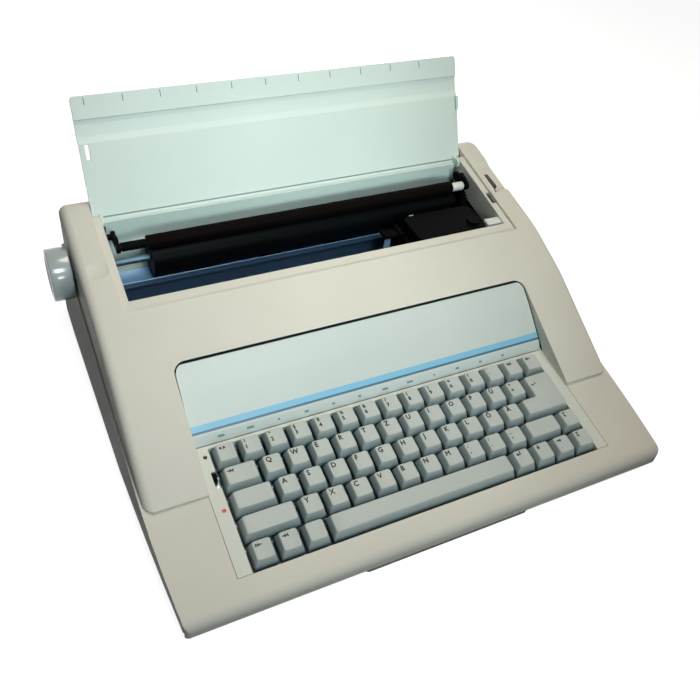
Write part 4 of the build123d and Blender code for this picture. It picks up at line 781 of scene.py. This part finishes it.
# small parts of the mechanism that the photograph shows
smallParts = {
    "paperStop": {"low": (-147.0, 133.4, 77.0), "high": (-134.0, 135.9, 86.0), "edge": 0.8, "look": paleTab,
                  "body": "machine", "slot": "lid_plastic"},
    "homeSensor": {"low": (154.9, 53.0, 86.5), "high": (174.2, 61.8, 95.0), "edge": 1.6, "look": paleTab,
                   "body": "machine", "slot": "lid_plastic"},
    "carriagePost": {"low": (92.2, 88.1, 72.0), "high": (97.0, 89.8, 92.8), "edge": 0.4, "look": zincSteel,
                     "body": "carriage", "slot": "plated_steel"},
    "leverTab": {"low": (64.5, 78.5, 69.5), "high": (70.5, 80.3, 83.4), "edge": 0.5, "look": leverBlue,
                 "body": "wheel_lever", "slot": "black_plastic"},
}
for name, part in smallParts.items():
    bm = bmesh.new()
    addBox(bm, upright, part["low"], part["high"])
    bmesh.ops.bevel(bm, geom=bm.edges[:], offset=part["edge"] * mm, segments=2, profile=0.5, affect="EDGES")
    finishPiece(bm, name, part["look"], part["body"], smooth=False)
print("small parts made")


# turned pieces: a profile of (x, radius) swung round an axis along x
bailAxis = (109.0, 100.3)
platenAxis = (117.2, 79.0)


def turned(name, profile, axis, segments, material, body, replaced=()):
    y, z = axis
    bm = bmesh.new()
    rings = []
    for x, radius in profile:
        angles = [2 * pi * k / segments for k in range(segments)]
        rings.append([bm.verts.new(upright(x, y + radius * cos(t), z + radius * sin(t))) for t in angles])
    for a, b in zip(rings, rings[1:]):
        bridge(bm, a, b)
    bm.faces.new(list(reversed(rings[0])))
    bm.faces.new(rings[-1])
    return finishPiece(bm, name, material, body, replaced=replaced)


sleeveLook = {
    "bailSleeve": {"from": -160.5, "to": -141.2, "radius": 3.7, "hole": 2.9, "edge": 0.3, "segments": 48,
                   "look": blackPlastic, "slot": "black_plastic"},
    "bailCollar": {"from": 147.4, "to": 159.5, "radius": 4.0, "hole": 2.9, "edge": 0.4, "segments": 48,
                   "look": paleTab, "slot": "lid_plastic"},
}


def sleeveProfile(look):
    start, end, radius, hole, edge = (look[key] for key in ("from", "to", "radius", "hole", "edge"))
    return [
        (start, hole), (start, radius - edge), (start + edge, radius), (end - edge, radius),
        (end, radius - edge), (end, hole),
    ]


for name, look in sleeveLook.items():
    turned(name, sleeveProfile(look), bailAxis, look["segments"], look["look"], "bail")

knobLook = {
    "segments": 128, "radius": 21.3, "outer": -217.1, "inner": -200.6, "hole": 3.2,
    "face": [(1.2, 2.0), (1.2, 15.0), (0.9, 16.2), (0.3, 17.0), (0, 17.9)],     # sunk face, x from outer
    "round": 1.8, "roundSteps": 6,
    "back": [(-0.6, 0), (-0.17, -0.17), (0, -0.6)],     # corner at the back, from inner and radius
}


def knobProfile():
    outer, inner, radius, corner = (knobLook[key] for key in ("outer", "inner", "radius", "round"))
    points = [(outer + x, r) for x, r in knobLook["face"]]
    points.append((outer, radius - corner))
    for k in range(1, knobLook["roundSteps"] + 1):
        t = pi / 2 * k / knobLook["roundSteps"]
        points.append((outer + corner - corner * cos(t), radius - corner + corner * sin(t)))
    points += [(inner + x, radius + r) for x, r in knobLook["back"]]
    points.append((inner, knobLook["hole"]))
    return points


turned("platenKnob", knobProfile(), platenAxis, knobLook["segments"], knobPlastic, bodyOf("platen_knob"),
       replaced=["platen_knob"])
print("knob made")


# floor: white where it is looked at, dim in the light that it throws back
floorLook = {
    "half": 4, "below": 0.0002, "grey": 0.5, "rough": 0.9, "glow": 0.88, "dim": (0.06, 0.07, 0.08, 1),
}


def makeFloor():
    m = newMaterial("paleFloor")
    m.surface((floorLook["grey"],) * 3 + (1,), floorLook["rough"])
    glow = m.make("ShaderNodeEmission")
    glow.inputs["Color"].default_value = (1, 1, 1, 1)
    glow.inputs["Strength"].default_value = floorLook["glow"]
    both = m.make("ShaderNodeAddShader")
    m.feed(both.inputs[0], m.shader.outputs["BSDF"])
    m.feed(both.inputs[1], glow.outputs["Emission"])
    dim = m.make("ShaderNodeBsdfDiffuse")
    dim.inputs["Color"].default_value = floorLook["dim"]
    m.feed(m.output.inputs["Surface"], m.bySight(dim.outputs["BSDF"], both.outputs["Shader"]))
    bm = bmesh.new()
    half = floorLook["half"]
    bm.faces.new([bm.verts.new((x, y, 0)) for x, y in rectangle(-half, half, -half, half)])
    mesh = bpy.data.meshes.new("floor")
    bm.to_mesh(mesh)
    bm.free()
    floor = bpy.data.objects.new("floor", mesh)
    floor.location.z = -floorLook["below"]
    mesh.materials.append(m.owner)
    scene.collection.objects.link(floor)


makeFloor()

# the room's own light, and the white backdrop
roomLook = {
    "light": {"color": (0.82, 0.9, 1.0, 1), "strength": 0.05},
    "backdrop": {"color": (1, 1, 1, 1), "strength": 1.0},
}
scene.world = bpy.data.worlds.new("paleRoom")
room = NodeMaker(scene.world)
shades = []
for look in roomLook.values():
    shade = room.make("ShaderNodeBackground")
    shade.inputs["Color"].default_value = look["color"]
    shade.inputs["Strength"].default_value = look["strength"]
    shades.append(shade.outputs["Background"])
room.feed(room.make("ShaderNodeOutputWorld").inputs["Surface"], room.bySight(*shades))

# places and sizes in metres, spread in degrees, power in watts
lamps = {
    "frontLamp": {"at": (-0.04, -0.72, 1.12), "to": (-0.14, 0.0, 0.08), "size": 0.3, "spread": 48,
                  "power": 0.66, "color": (0.9, 1.0, 1.0)},
    "lidLamp": {"at": (0.0, -1.0, 0.55), "to": (0.04, 0.17, 0.16), "size": 0.2, "spread": 30,
                "power": 0.215, "color": (0.88, 1.0, 0.97)},
    "topLamp": {"at": (0.3, 0.25, 1.4), "to": (0.08, 0.02, 0.06), "size": 0.5, "spread": 90,
                "power": 1.75, "color": (1.0, 0.84, 0.66)},
    "backLamp": {"at": (0.45, 1.3, 0.4), "to": (0.0, 0.17, 0.08), "size": 0.6, "spread": 90,
                 "power": 1.9, "color": (1.0, 0.97, 0.93)},
}
for name, lamp in lamps.items():
    light = bpy.data.lights.new(name, "AREA")
    light.energy = lamp["power"]
    light.size = lamp["size"]
    light.spread = radians(lamp["spread"])
    light.color = lamp["color"]
    holder = bpy.data.objects.new(name, light)
    holder.location = lamp["at"]
    aim = Vector(lamp["to"]) - Vector(lamp["at"])
    holder.rotation_mode = "QUATERNION"
    holder.rotation_quaternion = aim.to_track_quat("-Z", "Y")
    scene.collection.objects.link(holder)

# the camera, solved from the photograph: its place and axes, its lens in mm and its shift
camera = {
    "at": (-0.24488, -0.40018, 0.49007),
    "right": (0.9003, -0.42333, 0.1012),
    "down": (-0.21532, -0.63524, -0.74169),
    "ahead": (0.37827, 0.64596, -0.66306),
    "lens": 40.188,
    "shift": (0.00447, -0.0519),
}
lens = bpy.data.cameras.new("camera")
lens.sensor_width = 36
lens.lens = camera["lens"]
lens.shift_x, lens.shift_y = camera["shift"]
lens.clip_start = 0.01
eye = bpy.data.objects.new("camera", lens)
up = tuple(-v for v in camera["down"])
behind = tuple(-v for v in camera["ahead"])
axes = Matrix((camera["right"], up, behind)).transposed()
eye.matrix_world = Matrix.Translation(camera["at"]) @ axes.to_4x4()
scene.collection.objects.link(eye)
scene.camera = eye
print("floor, light and camera set")
